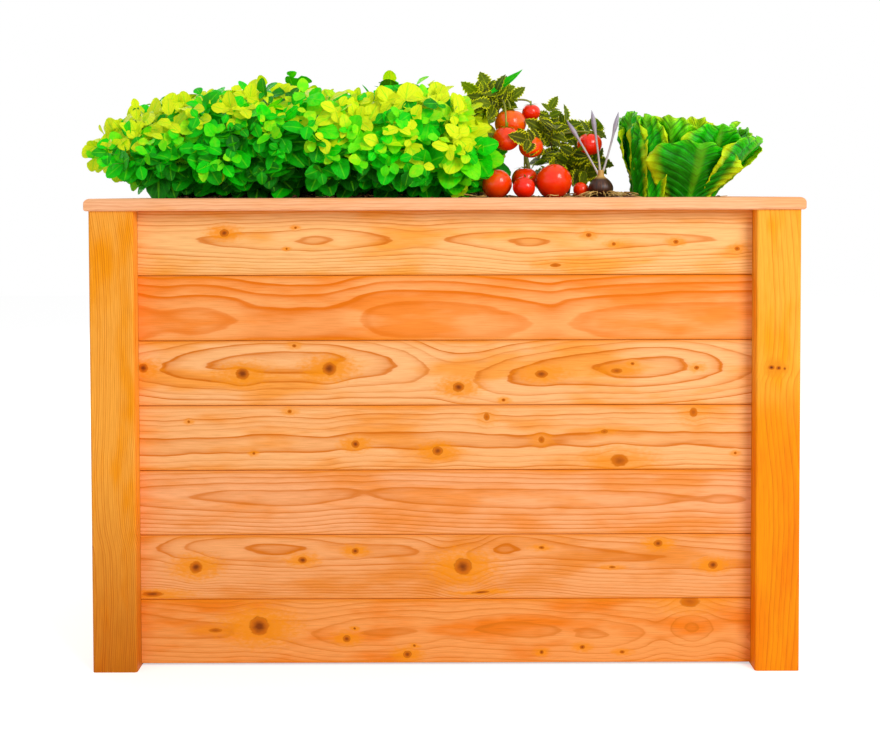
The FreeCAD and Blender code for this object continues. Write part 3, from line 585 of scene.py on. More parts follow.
# ---------------------------------------------------------------- cap rails
# Planed rails, 95 by 21 mm, rounded outside and mitred at the corners. Paler and pinker than the walls,
# with close straight grain, each screwed down into the posts.
CAP_WOOD = {
    "pale": tone(254, 188, 138), "warm": tone(252, 172, 108), "late": tone(224, 132, 84),
    "halo": tone(240, 160, 80), "knot": tone(130, 62, 14), "line": 0.6, "band": 1.0, "golden": 0.7,
    "wander": 3.0, "power": 1.0, "pitch": 3.6, "knots": (), "depth": ((0, 8.0), (1, 9.0)),
}
for number, (side, axes) in enumerate((("front", "XYZ"), ("back", "XYZ"), ("left", "YXZ"), ("right", "YXZ"))):
    node = "cap_" + side
    low, high = box(node)
    heart = (-0.090, 0.080, 0.095, -0.085)[number]
    own = {
        "seed": 61.0 + 7 * number, "heart": ((0, heart), (1, heart + 0.008)),
        "length": float(max(high[:2] - low[:2])),
    }
    if side == "front":
        own["knots"] = ((-222, -38, 1.8, 1.4, 0.9), (-268, -30, 1.4, 1.0, 0.7), (300, 12, 4.0, 1.2, 0.8))
    dress(node, timber(node, axes, tuple(((low + high) / 2).tolist()), {**CAP_WOOD, **own}))

# ---------------------------------------------------------------- cleats and studs
# Sawn battens inside the walls: two in each corner and one at the middle of each long wall. Bare wood.
BATTEN_WOOD = {
    **POST_WOOD, "pale": tone(236, 196, 146), "warm": tone(228, 178, 116), "late": tone(190, 130, 76),
    "seed": 77.0, "heart": ((0, 0.020), (1, 0.024)), "pitch": 5.0,
}
batten_finish = timber("sawn_batten", "ZXY", (0.0, 0.0, 0.4), BATTEN_WOOD)
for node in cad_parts:
    if node.startswith("cleats_") or node.endswith("_stud"):
        dress(node, batten_finish)

# ---------------------------------------------------------------- screws, staples and tacks
# Yellow zinc-plated countersunk screws hold boards, cleats and rails; galvanised staples and tacks hold the
# net and the lining. They keep the shapes they are made in and get a brushed, slightly worn plating.


def plating(name, colour, worn, rough):
    """Brushed metal: two close tones in fine noise, a little rougher where it is worn."""
    material, _, place = finish_of(name)
    wear = noise(place, 420.0, 3.0)
    tones = ramp(wear, [(0.35, colour), (0.7, worn)])
    return show(material, principled(tones, wear * 0.3 + rough, Metallic=1.0))


yellow_zinc = plating("yellow_zinc_steel", tone(224, 188, 104), tone(190, 150, 84), 0.18)
galvanised = plating("galvanised_steel", tone(190, 194, 198), tone(140, 144, 150), 0.3)
for node in ("board_screws", "cleat_screws", "cap_screws"):
    dress(node, yellow_zinc)
for node in ("net_staples", "liner_tacks"):
    dress(node, galvanised)

# ---------------------------------------------------------------- rodent net
# Welded wire with 13 mm gaps, galvanised, stapled under the walls and cut round the four posts. Two
# layers of straight wires cross and touch.


def unit(vectors):
    """Vectors of length 1."""
    return vectors / np.maximum(np.linalg.norm(vectors, axis=-1, keepdims=True), 1e-9)


def grid_faces(rows, columns, closed=False):
    """Quads of a grid of rows by columns points; closed joins the last column to the first."""
    down, over = np.mgrid[0 : rows - 1, 0 : columns if closed else columns - 1]
    here, beside = down * columns + over, down * columns + (over + 1) % columns
    return np.stack([here, beside, beside + columns, here + columns], -1).reshape(-1, 4)


def repeated(faces, points_each, copies):
    """The same quads for each of several copies."""
    return (faces[None] + points_each * np.arange(copies)[:, None, None]).reshape(-1, 4)


def sheet(points, leaf=0.0, tint=0.5, closed=False, flip=False):
    """A grid of points as a part for a piece; flip turns its faces over."""
    quads = grid_faces(*points.shape[:2], closed)
    return points, quads[:, ::-1] if flip else quads, leaf, tint


def piece(name, node, finish, parts):
    """Shown piece from (points, quads, leaf, tint) parts; it rides on the root and stands for the node.

    Leaf and tint are spread over the points. Points that coincide are merged, which closes poles and ends.
    """
    points = np.concatenate([part[0].reshape(-1, 3) for part in parts])
    counts = np.cumsum([0] + [part[0].size // 3 for part in parts])
    quads = np.concatenate([part[1] + start for part, start in zip(parts, counts)])
    mesh = bpy.data.meshes.new(name)
    mesh.vertices.add(len(points))
    mesh.vertices.foreach_set("co", points.astype(np.float32).ravel())
    mesh.loops.add(quads.size)
    mesh.loops.foreach_set("vertex_index", quads.astype(np.int32).ravel())
    mesh.polygons.add(len(quads))
    mesh.polygons.foreach_set("loop_start", np.arange(0, quads.size, 4, dtype=np.int32))
    mesh.polygons.foreach_set("use_smooth", np.ones(len(quads), bool))
    leaf = np.concatenate([np.broadcast_to(part[2], part[0].shape).reshape(-1, 3) for part in parts])
    tint = np.concatenate([np.broadcast_to(part[3], part[0].shape[:-1]).ravel() for part in parts])
    for title, kind, field, values in (
        ("leaf", "FLOAT_VECTOR", "vector", leaf), ("tint", "FLOAT", "value", tint),
    ):
        mesh.attributes.new(title, kind, "POINT").data.foreach_set(field, values.astype(np.float32).ravel())
    mesh.update(calc_edges=True)
    merged = bmesh.new()
    merged.from_mesh(mesh)
    bmesh.ops.remove_doubles(merged, verts=merged.verts, dist=1e-6)
    merged.to_mesh(mesh)
    merged.free()
    mesh.materials.append(finish)
    made = bpy.data.objects.new(name, mesh)
    bpy.context.collection.objects.link(made)
    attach(made, "root")
    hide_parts(node)
    return made


def tubes(paths, radii, sides):
    """Tubes along paths (copies, steps, 3): each step has a ring of that radius square to the path.

    A ring of no radius at either end closes the tube.
    """
    radii = np.broadcast_to(radii, paths.shape[:2])
    radii = np.concatenate([0 * radii[:, :1], radii, 0 * radii[:, :1]], 1)
    tangent = unit(np.gradient(paths, axis=1))
    tangent = np.concatenate([tangent[:, :1], tangent, tangent[:, -1:]], 1)
    paths = np.concatenate([paths[:, :1], paths, paths[:, -1:]], 1)
    chord = unit(paths[:, -1:] - paths[:, :1] + 1e-6)
    guide = unit(np.cross(chord, np.array([0.28, 0.17, 0.94])) + 1e-6)
    side = unit(np.cross(tangent, guide))
    other = np.cross(side, tangent)
    turn = np.linspace(0, 2 * np.pi, sides, endpoint=False)[:, None]
    ring = np.cos(turn) * side[:, :, None] + np.sin(turn) * other[:, :, None]
    points = paths[:, :, None] + radii[..., None, None] * ring
    copies, steps = paths.shape[:2]
    leaf = np.linspace(0, 1, steps)[:, None, None] * np.array([0, 1.0, 0])
    return points, repeated(grid_faces(steps, sides, True)[:, ::-1], steps * sides, copies), leaf, 0.5


WIRE_PITCH = 0.0137
WIRE_RADIUS = 0.00033


def wires(high, across, layer, post_x, post_y):
    """Straight wires along X, or across along Y, that stop at the posts where they would meet them."""
    reach, span = (high[1], high[0]) if not across else (high[0], high[1])
    near, far = (post_y, post_x) if not across else (post_x, post_y)
    place = np.arange(-reach + 0.002, reach, WIRE_PITCH)
    half = np.where(np.abs(place) > near, far, span)
    ends = np.stack([-half, half], 1)
    flat = np.broadcast_to(place[:, None], ends.shape)
    level = np.full(ends.shape, layer)
    return np.stack([flat, ends, level] if across else [ends, flat, level], -1)


low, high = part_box("rodent_net")
post_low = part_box("post_back_right")[0]
runs = [
    wires(high, across, low[2] + WIRE_RADIUS * (1 + 2 * across), post_low[0] - 0.001, post_low[1] - 0.001)
    for across in (False, True)
]
piece("net_wires", "rodent_net", galvanised, [tubes(run, WIRE_RADIUS, 6) for run in runs])

# ---------------------------------------------------------------- lining
# Black woven root membrane against the boards, posts and battens, tacked below the rails. Matt, with a
# fine weave of tapes.


WEAVE_RATE = 2513.0  # turns a metre, a tape each 2.5 mm


def membrane_finish():
    """Weave: two sine waves on the wall's plane at 2.5 mm, as relief and as a faint change of tone."""
    material, tree, place = finish_of("black_membrane")
    x, y, z = put(tree, "SeparateXYZ", out=None, i0=place)
    weave = calc(z * WEAVE_RATE, "SINE") * calc((x + y) * WEAVE_RATE, "SINE")
    tones = ramp(weave * 0.5 + 0.5, [(0.3, 26, 27, 28), (0.7, 46, 47, 48)])
    return show(material, principled(tones, 0.7, (0.5, 0.0004, weave)))


dress("liner", membrane_finish())

# ---------------------------------------------------------------- gravel
# Washed drainage gravel under the soil. Only its underside shows, through the net: round pebbles of 10 to
# 20 mm packed against a bed of the same stone.


def around(rows, columns):
    """Grid of polar angles, pole to pole, and of turns about the pole."""
    turn = np.linspace(0, 2 * np.pi, columns, endpoint=False)
    return np.meshgrid(np.linspace(0, np.pi, rows), turn, indexing="ij")


def pebbles(middle, radius, flatten, lot):
    """Lumpy balls: |p| = R (1 + 0.3 mean of three random sine waves), flattened in height."""
    count = len(middle)
    polar, angle = around(5, 7)
    ball = np.stack(
        [np.sin(polar) * np.cos(angle), np.sin(polar) * np.sin(angle), np.cos(polar)], -1,
    ).reshape(-1, 3)
    waves = lot.normal(0, 1.6, (count, 3, 3))
    swell = np.sin(np.einsum("pk,nwk->npw", ball, waves) + lot.uniform(0, 6.28, (count, 1, 3))).mean(-1)
    longer, wider = lot.uniform(0.8, 1.25, count), lot.uniform(0.8, 1.25, count)
    axes = radius[:, None] * np.stack([longer, wider, np.full(count, flatten)], -1)
    points = middle[:, None] + ball * axes[:, None] * (1 + 0.3 * swell[..., None])
    return points, repeated(grid_faces(5, 7, True)[:, ::-1], 5 * 7, count), 0.0, lot.random((count, 1))


def stone_finish():
    """Washed stone: each pebble its own grey or brown by its tint, with fine grain."""
    material, tree, place = finish_of("gravel")
    _, tint = carried(tree)
    factor = noise(place, 500.0, 3.0) * 0.3 + (tint - 0.15)
    tones = (
        (0.0, 92, 84, 74), (0.4, 142, 132, 118), (0.7, 168, 160, 150),
        (1.0, 198, 186, 168),
    )
    return show(material, principled(ramp(factor, tones), 0.6))


lot = np.random.default_rng(33)
low, high = box("gravel")
across, deep = np.meshgrid(
    np.arange(low[0] + 0.011, high[0] - 0.008, 0.0165), np.arange(low[1] + 0.011, high[1] - 0.008, 0.0165),
)
radius = lot.uniform(0.0068, 0.0098, across.size)
middle = np.stack([across.ravel(), deep.ravel(), low[2] + radius * 0.8], -1)
middle[:, :2] += lot.normal(0, 0.0012, (across.size, 2))
bed_points = np.array(
    [(x, y, z) for z in (low[2] + 0.007, high[2]) for y in (low[1], high[1]) for x in (low[0], high[0])]
)
bed_quads = np.array([(0, 2, 3, 1), (4, 5, 7, 6), (0, 1, 5, 4), (2, 6, 7, 3), (0, 4, 6, 2), (1, 3, 7, 5)])
bed = (bed_points, bed_quads, 0.0, 0.4)
piece("gravel_stones", "gravel", stone_finish(), [pebbles(middle, radius, 0.8, lot), bed])

# ---------------------------------------------------------------- soil
# Dark crumbly soil, raked to a level crown that falls to the lining all round, with small heaps between
# the plants, crumbs of earth and scattered straw.
SOIL_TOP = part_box("soil")[1][2]
CROWN_HALF = np.array([0.4862, 0.1862])
EDGE_FALL = 0.55
HEAPS = [  # place, reach, rise
    (0.056, -0.060, 0.034, 0.013), (0.250, -0.120, 0.060, 0.005), (0.330, -0.150, 0.040, 0.006),
    (0.300, -0.020, 0.070, 0.006), (0.040, -0.140, 0.040, 0.006), (-0.030, 0.000, 0.080, 0.020),
]
HEAPS += [(x, y, 0.110, 0.022) for x in (-0.420, -0.280, -0.140) for y in (-0.060, 0.060)]


def lie_of_soil(x, y):
    """Surface height: the crown, falling 0.55 for 1 beyond its edge, bell-shaped heaps and rolling lumps."""
    beyond = np.maximum(np.maximum(np.abs(x) - CROWN_HALF[0], np.abs(y) - CROWN_HALF[1]), 0.0)
    height = SOIL_TOP - 0.0012 - EDGE_FALL * beyond
    for heap_x, heap_y, reach, rise in HEAPS:
        height = height + rise * np.exp(-((x - heap_x) ** 2 + (y - heap_y) ** 2) / (0.7 * reach) ** 2)
    waves = np.random.default_rng(5).normal(0, 1, (14, 3))
    for kx, ky, phase in waves:
        height = height + 0.0005 * np.sin(170 * (kx * x + ky * y) + 9 * phase)
    return height


def soil_body():
    """The surface as a grid, its rim dropped to the gravel as the four sides, and a fan of faces below."""
    low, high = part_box("soil")
    x = np.linspace(low[0], high[0], 238)
    y = np.linspace(low[1], high[1], 110)
    x, y = np.r_[x[0], x, x[-1]], np.r_[y[0], y, y[-1]]
    y, x = np.meshgrid(y, x, indexing="ij")
    z = lie_of_soil(x, y)
    z[[0, -1]] = low[2]
    z[:, [0, -1]] = low[2]
    points = np.stack([x, y, z], -1)
    rim = np.concatenate([points[0, :-1], points[:-1, -1], points[-1, :0:-1], points[:0:-1, 0]])
    below = np.stack([rim, np.broadcast_to((0.0, 0.0, low[2]), rim.shape)])
    return [sheet(points, tint=0.3), sheet(below, tint=0.3, closed=True, flip=True)]


def on_soil(count, lot):
    """Random points on the soil's crown and a little beyond it."""
    x, y = (lot.uniform(-1, 1, (count, 2)) * (CROWN_HALF + 0.045)).T
    return np.stack([x, y, lie_of_soil(x, y)], -1)


STRAWS_ABOUT = 240
STRAWS_IN_FRONT = 200


def straw(lot):
    """Straws lie about the soil, more of them at the front between the tomatoes and the cabbage."""
    count = STRAWS_ABOUT + STRAWS_IN_FRONT
    middle = np.concatenate([on_soil(STRAWS_ABOUT, lot), on_soil(STRAWS_IN_FRONT, lot)])
    middle[STRAWS_ABOUT:, 0] = lot.uniform(0.03, 0.40, STRAWS_IN_FRONT)
    middle[STRAWS_ABOUT:, 1] = lot.uniform(-0.19, -0.02, STRAWS_IN_FRONT)
    middle[:, 2] = lie_of_soil(middle[:, 0], middle[:, 1]) + lot.uniform(0.0005, 0.004, count)
    turn = lot.uniform(0, 2 * np.pi, count)
    way = np.stack([np.cos(turn), np.sin(turn), lot.normal(0, 0.12, count)], -1)
    way *= lot.uniform(0.006, 0.020, (count, 1))
    sag = np.array([0, 0, 0.001]) * lot.normal(0, 1, (count, 1))
    t = np.linspace(0, 1, 4)[None, :, None]
    paths = middle[:, None] + (2 * t - 1) * way[:, None] + 4 * t * (1 - t) * sag[:, None]
    return tubes(paths, lot.uniform(0.0005, 0.0011, (count, 1)), 5)


def earth_finish():
    """Moist earth: near black to brown crumbs in noise of two sizes, rough."""
    material, tree, place = finish_of("garden_soil")
    _, tint = carried(tree)
    coarse = noise(place, 60.0, 4.0, Roughness=0.7)
    crumbs = put(tree, "TexVoronoi", Vector=place, Scale=260.0)
    factor = crumbs * 0.35 + (tint * 0.3 + (coarse - 0.25))
    tones = (
        (0.1, 34, 20, 10), (0.4, 74, 46, 24), (0.65, 118, 78, 42),
        (0.9, 176, 128, 74),
    )
    return show(material, principled(ramp(factor, tones), 0.85, (0.9, 0.0025, crumbs + coarse)))


def straw_finish():
    """Dry straw: yellow to tan, mottled."""
    material, _, place = finish_of("straw")
    tones = ((0.3, 170, 112, 48), (0.55, 226, 176, 92), (0.75, 246, 214, 136))
    return show(material, principled(ramp(noise(place, 45.0, 2.0), tones), 0.5))


CRUMBS = 2200
crumb_place = on_soil(CRUMBS, lot)
crumb_radius = 0.0012 + 0.0042 * lot.random(CRUMBS) ** 2.5
crumbs = pebbles(crumb_place + np.array([0, 0, 0.0004]), crumb_radius, 0.8, lot)
piece("soil_surface", "soil", earth_finish(), [*soil_body(), crumbs])
piece("soil_straw", "soil", straw_finish(), [straw(lot)])

# ---------------------------------------------------------------- leaves and stems
# The plants grow from thin blades on a grid and tubes along bent paths, worked out for all copies at once.
# Every blade carries its own (across, along, lot) and its tint.


def blades(width, places, columns, origin, along, normal, size, curl, cup, tint, lot):
    """Blades on (u in -1..1 across, v in 0..1 along) with half width w(v), each of its own size and frame.

    x = u w, y = v, z = cup (u w)^2 - curl v^2 in the frame (along x normal, along, normal).
    """
    along = unit(along)
    side = unit(np.cross(along, normal))
    normal = np.cross(side, along)
    v, u = np.meshgrid(places, np.linspace(-1, 1, columns), indexing="ij")
    x = (u * width(v)).ravel()
    y = v.ravel()
    z = cup[:, None] * x**2 - curl[:, None] * y**2
    local = x[:, None] * side[:, None] + y[:, None] * along[:, None] + z[..., None] * normal[:, None]
    points = origin[:, None] + size[:, None, None] * local
    leaf = np.stack(np.broadcast_arrays(u.ravel(), y, lot.random((len(origin), 1))), -1)
    quads = repeated(grid_faces(len(places), columns), len(places) * columns, len(origin))
    return points, quads, leaf, np.asarray(tint)[:, None]


def bend(start, middle, end, t):
    """Points (1-t)^2 start + 2t(1-t) middle + t^2 end of all curves at once, and the ways they run there."""
    start, middle, end = start[:, None], middle[:, None], end[:, None]
    points = (1 - t) ** 2 * start + 2 * t * (1 - t) * middle + t**2 * end
    return points, unit(2 * (1 - t) * (middle - start) + 2 * t * (end - middle))


def bends(start, middle, end, steps):
    """The same curves in even steps."""
    return bend(start, middle, end, np.linspace(0, 1, steps)[None, :, None])[0]


def in_a_row(values):
    """All leaves of all shoots in one row."""
    return values.reshape(-1, *values.shape[2:])


def leaf_finish(name, stops, midrib, vein, vein_count, vein_force, shine, through, rim=None):
    """Leaf: the tint picks the colour, a midrib lies at u = 0, and side veins where v - 0.55|u| repeats.

    Finer veins lie between. Part of the light goes through the blade and comes out yellower.
    """
    material, tree, place = finish_of(name)
    leaf, tint = carried(tree)
    u, v, own = put(tree, "SeparateXYZ", out=None, i0=leaf)
    mottle = noise(place, 90.0, 1.0)
    wave = (abs(u) * -0.55 + v) * vein_count
    side_vein, fine_vein = (
        fade(abs(calc(repeat, "FRACT") - 0.5), 0.02, reach, 1.0, 0.0)
        for repeat, reach in ((wave, 0.16), (wave * 3.3 + mottle * 2.2, 0.30))
    )
    veins = calc(side_vein, "MAXIMUM", fine_vein * 0.5)
    rib = fade(abs(u), 0.03, 0.14, 0.5, 0.0)
    colour = ramp(mottle * 0.3 + (own * 0.14 + (tint - 0.22)), stops)
    colour = mix(veins * vein_force, colour, vein)
    colour = mix(rib, colour, midrib)
    if rim:
        colour = mix(fade(abs(u), 0.66, 0.98, 0.0, 0.92), colour, rim)
    surface = principled(colour, shine, (0.5, 0.001, rib - veins), Specular_IOR_Level=0.2)
    glow = put(tree, "BsdfTranslucent", Color=mix(0.35, colour, (0.45, 1.0, 0.0, 1.0)))
    return show(material, put(tree, "MixShader", i0=through, i1=surface, i2=glow))


def stem_finish(name, low, high, shine=0.5):
    """Stem or root: one colour at its foot and another at its tip, mottled."""
    material, tree, place = finish_of(name)
    leaf, _ = carried(tree)
    along = put(tree, "SeparateXYZ", out=1, i0=leaf)
    mottle = noise(place, 160.0, 2.0)
    colour = ramp(mottle * 0.5 + (along - 0.25), [(0.1, low), (0.9, high)])
    return show(material, principled(colour, shine, (0.4, 0.001, mottle)))


# ---------------------------------------------------------------- herb hedge
# A dense row of round-leaved herbs with leaves of 20 to 50 mm, rooted in the soil and hanging over the rim
# at the front, back and left end. Square stems rise, arch outwards and carry leaves in crossed pairs.
SOIL_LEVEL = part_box("herb_bush_2")[0][2]
HEDGE_OUTLINE = (  # metres from the bed's middle, metres above the soil
    (-0.620, 0.116), (-0.590, 0.132), (-0.535, 0.152), (-0.450, 0.180), (-0.315, 0.193), (-0.250, 0.187),
    (-0.150, 0.178), (-0.095, 0.190), (-0.035, 0.186), (0.000, 0.178), (0.045, 0.150), (0.080, 0.124),
)
HEDGE_LEFT, HEDGE_RIGHT = HEDGE_OUTLINE[0][0], HEDGE_OUTLINE[-1][0]
HEDGE_BELLY = 0.252  # half depth where the shoots hang over the rim
SHOOTS_A_METRE = 1250
HERB_LEAF = 0.044
YELLOW_CLUMPS = (  # where patches of yellow leaves stand out: along the bed, above the soil, reach
    (-0.442, 0.112, 0.020), (-0.451, 0.141, 0.018), (-0.360, 0.163, 0.024), (-0.262, 0.141, 0.020),
    (-0.205, 0.120, 0.022), (-0.142, 0.115, 0.020), (-0.099, 0.094, 0.018), (-0.065, 0.115, 0.022),
    (-0.025, 0.094, 0.022), (-0.168, 0.029, 0.012), (-0.485, 0.043, 0.012), (-0.017, 0.034, 0.016),
    (-0.300, 0.085, 0.010), (-0.530, 0.100, 0.014), (-0.225, 0.060, 0.010),
)
SHADY_GAP = (-0.365, 0.055, 0.060)  # place along the bed, half length, height


def hedge_shell(x, turn, share):
    """Tip on the hedge's shell at x: turn -1..1 runs front rim, crest, back rim; share scales it inwards.

    With s and c the sine and cosine of 90 degrees * turn, y = belly * sgn(s) |s|^0.55 and
    h = low + (top(x) - low) |c|^0.5.
    """
    top = np.interp(x, *np.array(HEDGE_OUTLINE).T)
    left_end = np.clip((x - HEDGE_LEFT) / 0.07, 0.0, 1.0)
    right_end = np.clip((HEDGE_RIGHT - x) / 0.05, 0.0, 1.0)
    round_off = (1 - 0.22 * (1 - left_end) ** 2) * (1 - 0.4 * (1 - right_end) ** 2)
    angle = turn * np.pi / 2
    y = HEDGE_BELLY * round_off * np.sign(angle) * np.abs(np.sin(angle)) ** 0.55
    low = 0.014 + 0.034 * (1 - left_end) ** 1.5
    height = low + (top - low) * np.abs(np.cos(angle)) ** 0.5
    return np.stack([x, y * share, low + (height - low) * (1 - (1 - share) * 0.8)], -1), height / top


def even_turns(count, lot):
    """Turns whose tips lie evenly along the shell's cross section, by the length of its curve."""
    turn = np.linspace(-0.97, 0.97, 400)
    tip, _ = hedge_shell(np.full(400, -0.25), turn, np.ones(400))
    length = np.concatenate([[0.0], np.cumsum(np.linalg.norm(np.diff(tip, axis=0), axis=1))])
    return np.interp(lot.uniform(0, length[-1], count), length, turn)


def round_blade(v):
    """Half width 0.42 sin(pi v^0.85)^0.5, narrowed to a short stalk at the foot."""
    stalk = np.clip((v - 0.08) / 0.12, 0.05, 1.0)
    return 0.42 * stalk * np.maximum(np.sin(np.pi * np.clip(v, 0.0, 0.99) ** 0.85), 0.03) ** 0.5


def bush(number, lot):
    """One bush's shoots and leaves, as (leaf part, stem part)."""
    low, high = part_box("herb_bush_%d" % number)
    left = HEDGE_LEFT if number == 1 else low[0]
    right = HEDGE_RIGHT if number == 4 else high[0]
    count = int(SHOOTS_A_METRE * (right - left))
    x = lot.uniform(left, right, count)
    share = np.where(lot.random(count) < 0.68, 1.0, lot.uniform(0.7, 0.92, count))
    tip, exposed = hedge_shell(x, even_turns(count, lot), share)
    stray = lot.random(count) < 0.15
    tip += lot.normal(0, 1, tip.shape) * np.where(stray, 0.012, 0.005)[:, None]
    tip[:, 2] += stray * exposed * np.abs(lot.normal(0, 0.010, count))
    gap = np.exp(-(((x - SHADY_GAP[0]) / SHADY_GAP[1]) ** 2)) * np.clip(1 - tip[:, 2] / SHADY_GAP[2], 0, 1)
    tip[:, 2] += 0.03 * gap
    tip[:, 1] *= 1 - 0.25 * gap
    tip[:, 2] = np.maximum(tip[:, 2], 0.010)
    tip[:, 0] = np.maximum(tip[:, 0], HEDGE_LEFT - 0.004)
    root = tip * np.array([0, 0.55, 0]) + np.array([0, 0, -0.004])
    root[:, 0] = np.clip(x * 0.94 + lot.normal(0, 0.02, count), -0.480, 0.062)
    knee = root + (tip - root) * np.array([0.4, 0.4, 0.0])
    knee[:, 2] = np.maximum(tip[:, 2] * 0.85, 0.075)
    lift = np.array([0, 0, SOIL_LEVEL])
    paths = bends(root, knee, tip, 7) + lift
    pairs = 6
    place = 1 - np.arange(pairs) * (0.017 / np.linalg.norm(tip - root, axis=1, keepdims=True) + 0.035)
    place = np.clip(place, 0.15, 1.0)[..., None]
    foot, way = bend(root, knee, tip, place)
    out = unit(np.stack([(tip[:, 0] - x.mean()) * 0.3, tip[:, 1] * 1.6, tip[:, 2] - 0.04], -1))[:, None]
    across = unit(np.cross(way, lot.normal(0, 1, (count, 1, 3))))
    crossed = np.cross(way, across)
    first = np.where((np.arange(pairs) % 2 == 0)[None, :, None], across, crossed)
    along = np.concatenate([first, -first], 1)
    foot, way = np.concatenate([foot, foot], 1) + lift, np.concatenate([way, way], 1)
    size = HERB_LEAF * np.tile((0.55, 0.82, 1.0, 1.08, 1.0, 0.9), 2) * lot.uniform(0.6, 1.25, along.shape[:2])
    droop = np.array([0, 0, -0.35]) + lot.normal(0, 0.25, along.shape)
    heading = unit(along + 0.35 * way + 0.35 * out + droop)
    facing = unit(way * 0.4 + out * 0.9 + np.array([0, 0, 0.5]) + lot.normal(0, 0.35, along.shape))
    # Painted light: leaves high on the shell and at both ends of the hedge are painted yellow, as if lit
    # through from behind; the listed clumps add patches of yellow leaves.
    backlit_and_yellow = 0.65 * np.clip((exposed - 0.66) / 0.22, 0, 1) * (lot.random(count) < 0.62)
    backlit_and_yellow += 0.45 * np.clip((-0.575 - x) / 0.03, 0, 1)
    backlit_and_yellow += 0.5 * np.clip((x + 0.025) / 0.05, 0, 1) * (lot.random(count) < 0.6)
    for clump_x, clump_z, reach in YELLOW_CLUMPS:
        backlit_and_yellow += 0.6 * np.exp(-((x - clump_x) ** 2 + (tip[:, 2] - clump_z) ** 2) / reach**2)
    # Painted light and shade: leaves higher on the shell are lighter; those in the shady gap and on the inner
    # shoots are painted darker.
    tint = 0.26 + 0.10 * exposed**3 + lot.normal(0, 0.07, count) + backlit_and_yellow - 0.25 * gap - 0.16 * (share < 1)
    # Painted highlights: on about a third of the shoots the tip pair, and a little the next pair, are painted
    # paler.
    tips = 0.4 * (lot.random((count, 1)) < 0.35) * np.tile((1.0, 0.2, 0, 0, 0, 0), 2)
    # Painted shade: each leaf pair further down a shoot is a little darker.
    tint = tint[:, None] + tips - 0.03 * np.tile(np.arange(pairs), 2) + lot.normal(0, 0.08, along.shape[:2])
    leaves = blades(
        round_blade, (0.0, 0.16, 0.42, 0.70, 0.90, 1.0), 5, in_a_row(foot), in_a_row(heading),
        in_a_row(facing), in_a_row(size), lot.uniform(0.05, 0.4, size.size),
        lot.uniform(-0.1, 0.7, size.size), in_a_row(tint), lot,
    )
    return leaves, tubes(paths, np.linspace(0.0012, 0.0005, 7), 4)


HERB_TONES = (
    (0.0, 0, 96, 0), (0.25, 0, 176, 0), (0.48, 4, 240, 0), (0.64, 130, 252, 0), (0.84, 244, 255, 16),
)
herb_finish = leaf_finish(
    "herb_leaf", HERB_TONES, tone(120, 240, 20), tone(60, 200, 10), vein_count=4.0, vein_force=0.2, shine=0.5,
    through=0.12,
)
herb_stem_finish = stem_finish("herb_stem", tone(70, 92, 20), tone(96, 170, 20))
lot = np.random.default_rng(90210)
for number in range(1, 5):
    leaves, stems = bush(number, lot)
    node = "herb_bush_%d" % number
    piece(node + "_leaves", node, herb_finish, [leaves])
    piece(node + "_stems", node, herb_stem_finish, [stems])

# ---------------------------------------------------------------- tomato plant
# One vine with a crown of toothed leaves over its fruits and a second shoot behind them. The leaves are
# feathered: toothed leaflets in pairs on a rib. Fruits hang from the vine or lie on the soil.
LEAFLET_PAIRS = 4


def toothed_blade(v):
    """Half width 0.38 sin(pi v^0.8)^0.8 with six saw teeth along each edge."""
    tooth = 0.62 + 0.50 * (1 - np.mod(v * 6.2, 1.0))
    return 0.38 * np.maximum(np.sin(np.pi * np.clip(v, 0.0, 0.985) ** 0.8), 0.04) ** 0.8 * tooth


def feathered(foot, tip, facing, size, tint, lot):
    """Compound leaves: a rib from foot to tip, leaflets in pairs along it and one at its end."""
    arch = 0.16 * np.linalg.norm(tip - foot, axis=1, keepdims=True)
    knee = (foot + tip) / 2 + arch * unit(facing + np.array([0, 0, 0.6]))
    t = np.concatenate([np.repeat(np.linspace(0.25, 0.90, LEAFLET_PAIRS), 2), [1.0]])[None, :, None]
    start, way = bend(foot, knee, tip, t)
    across = unit(np.cross(way, facing[:, None]))
    hand = np.array([1.0, -1.0] * LEAFLET_PAIRS + [0.0])[None, :, None]
    heading = unit(way * (0.75 - 0.1 * abs(hand)) + hand * across + lot.normal(0, 0.16, way.shape))
    front = unit(facing[:, None] + lot.normal(0, 0.3, way.shape))
    share = np.array([0.7, 0.7, 0.95, 0.95, 0.95, 0.95, 0.8, 0.8, 1.15])
    sizes = size[:, None] * share * lot.uniform(0.85, 1.15, way.shape[:2])
    count = sizes.size
    leaflets = blades(
        toothed_blade, np.linspace(0, 1, 19), 3, in_a_row(start), in_a_row(heading), in_a_row(front),
        in_a_row(sizes), lot.uniform(0.05, 0.5, count), lot.uniform(0.2, 1.2, count),
        np.repeat(tint, sizes.shape[1]) + lot.normal(0, 0.08, count), lot,
    )
    return leaflets, tubes(bends(foot, knee, tip, 8), np.linspace(0.0014, 0.0006, 8), 5)


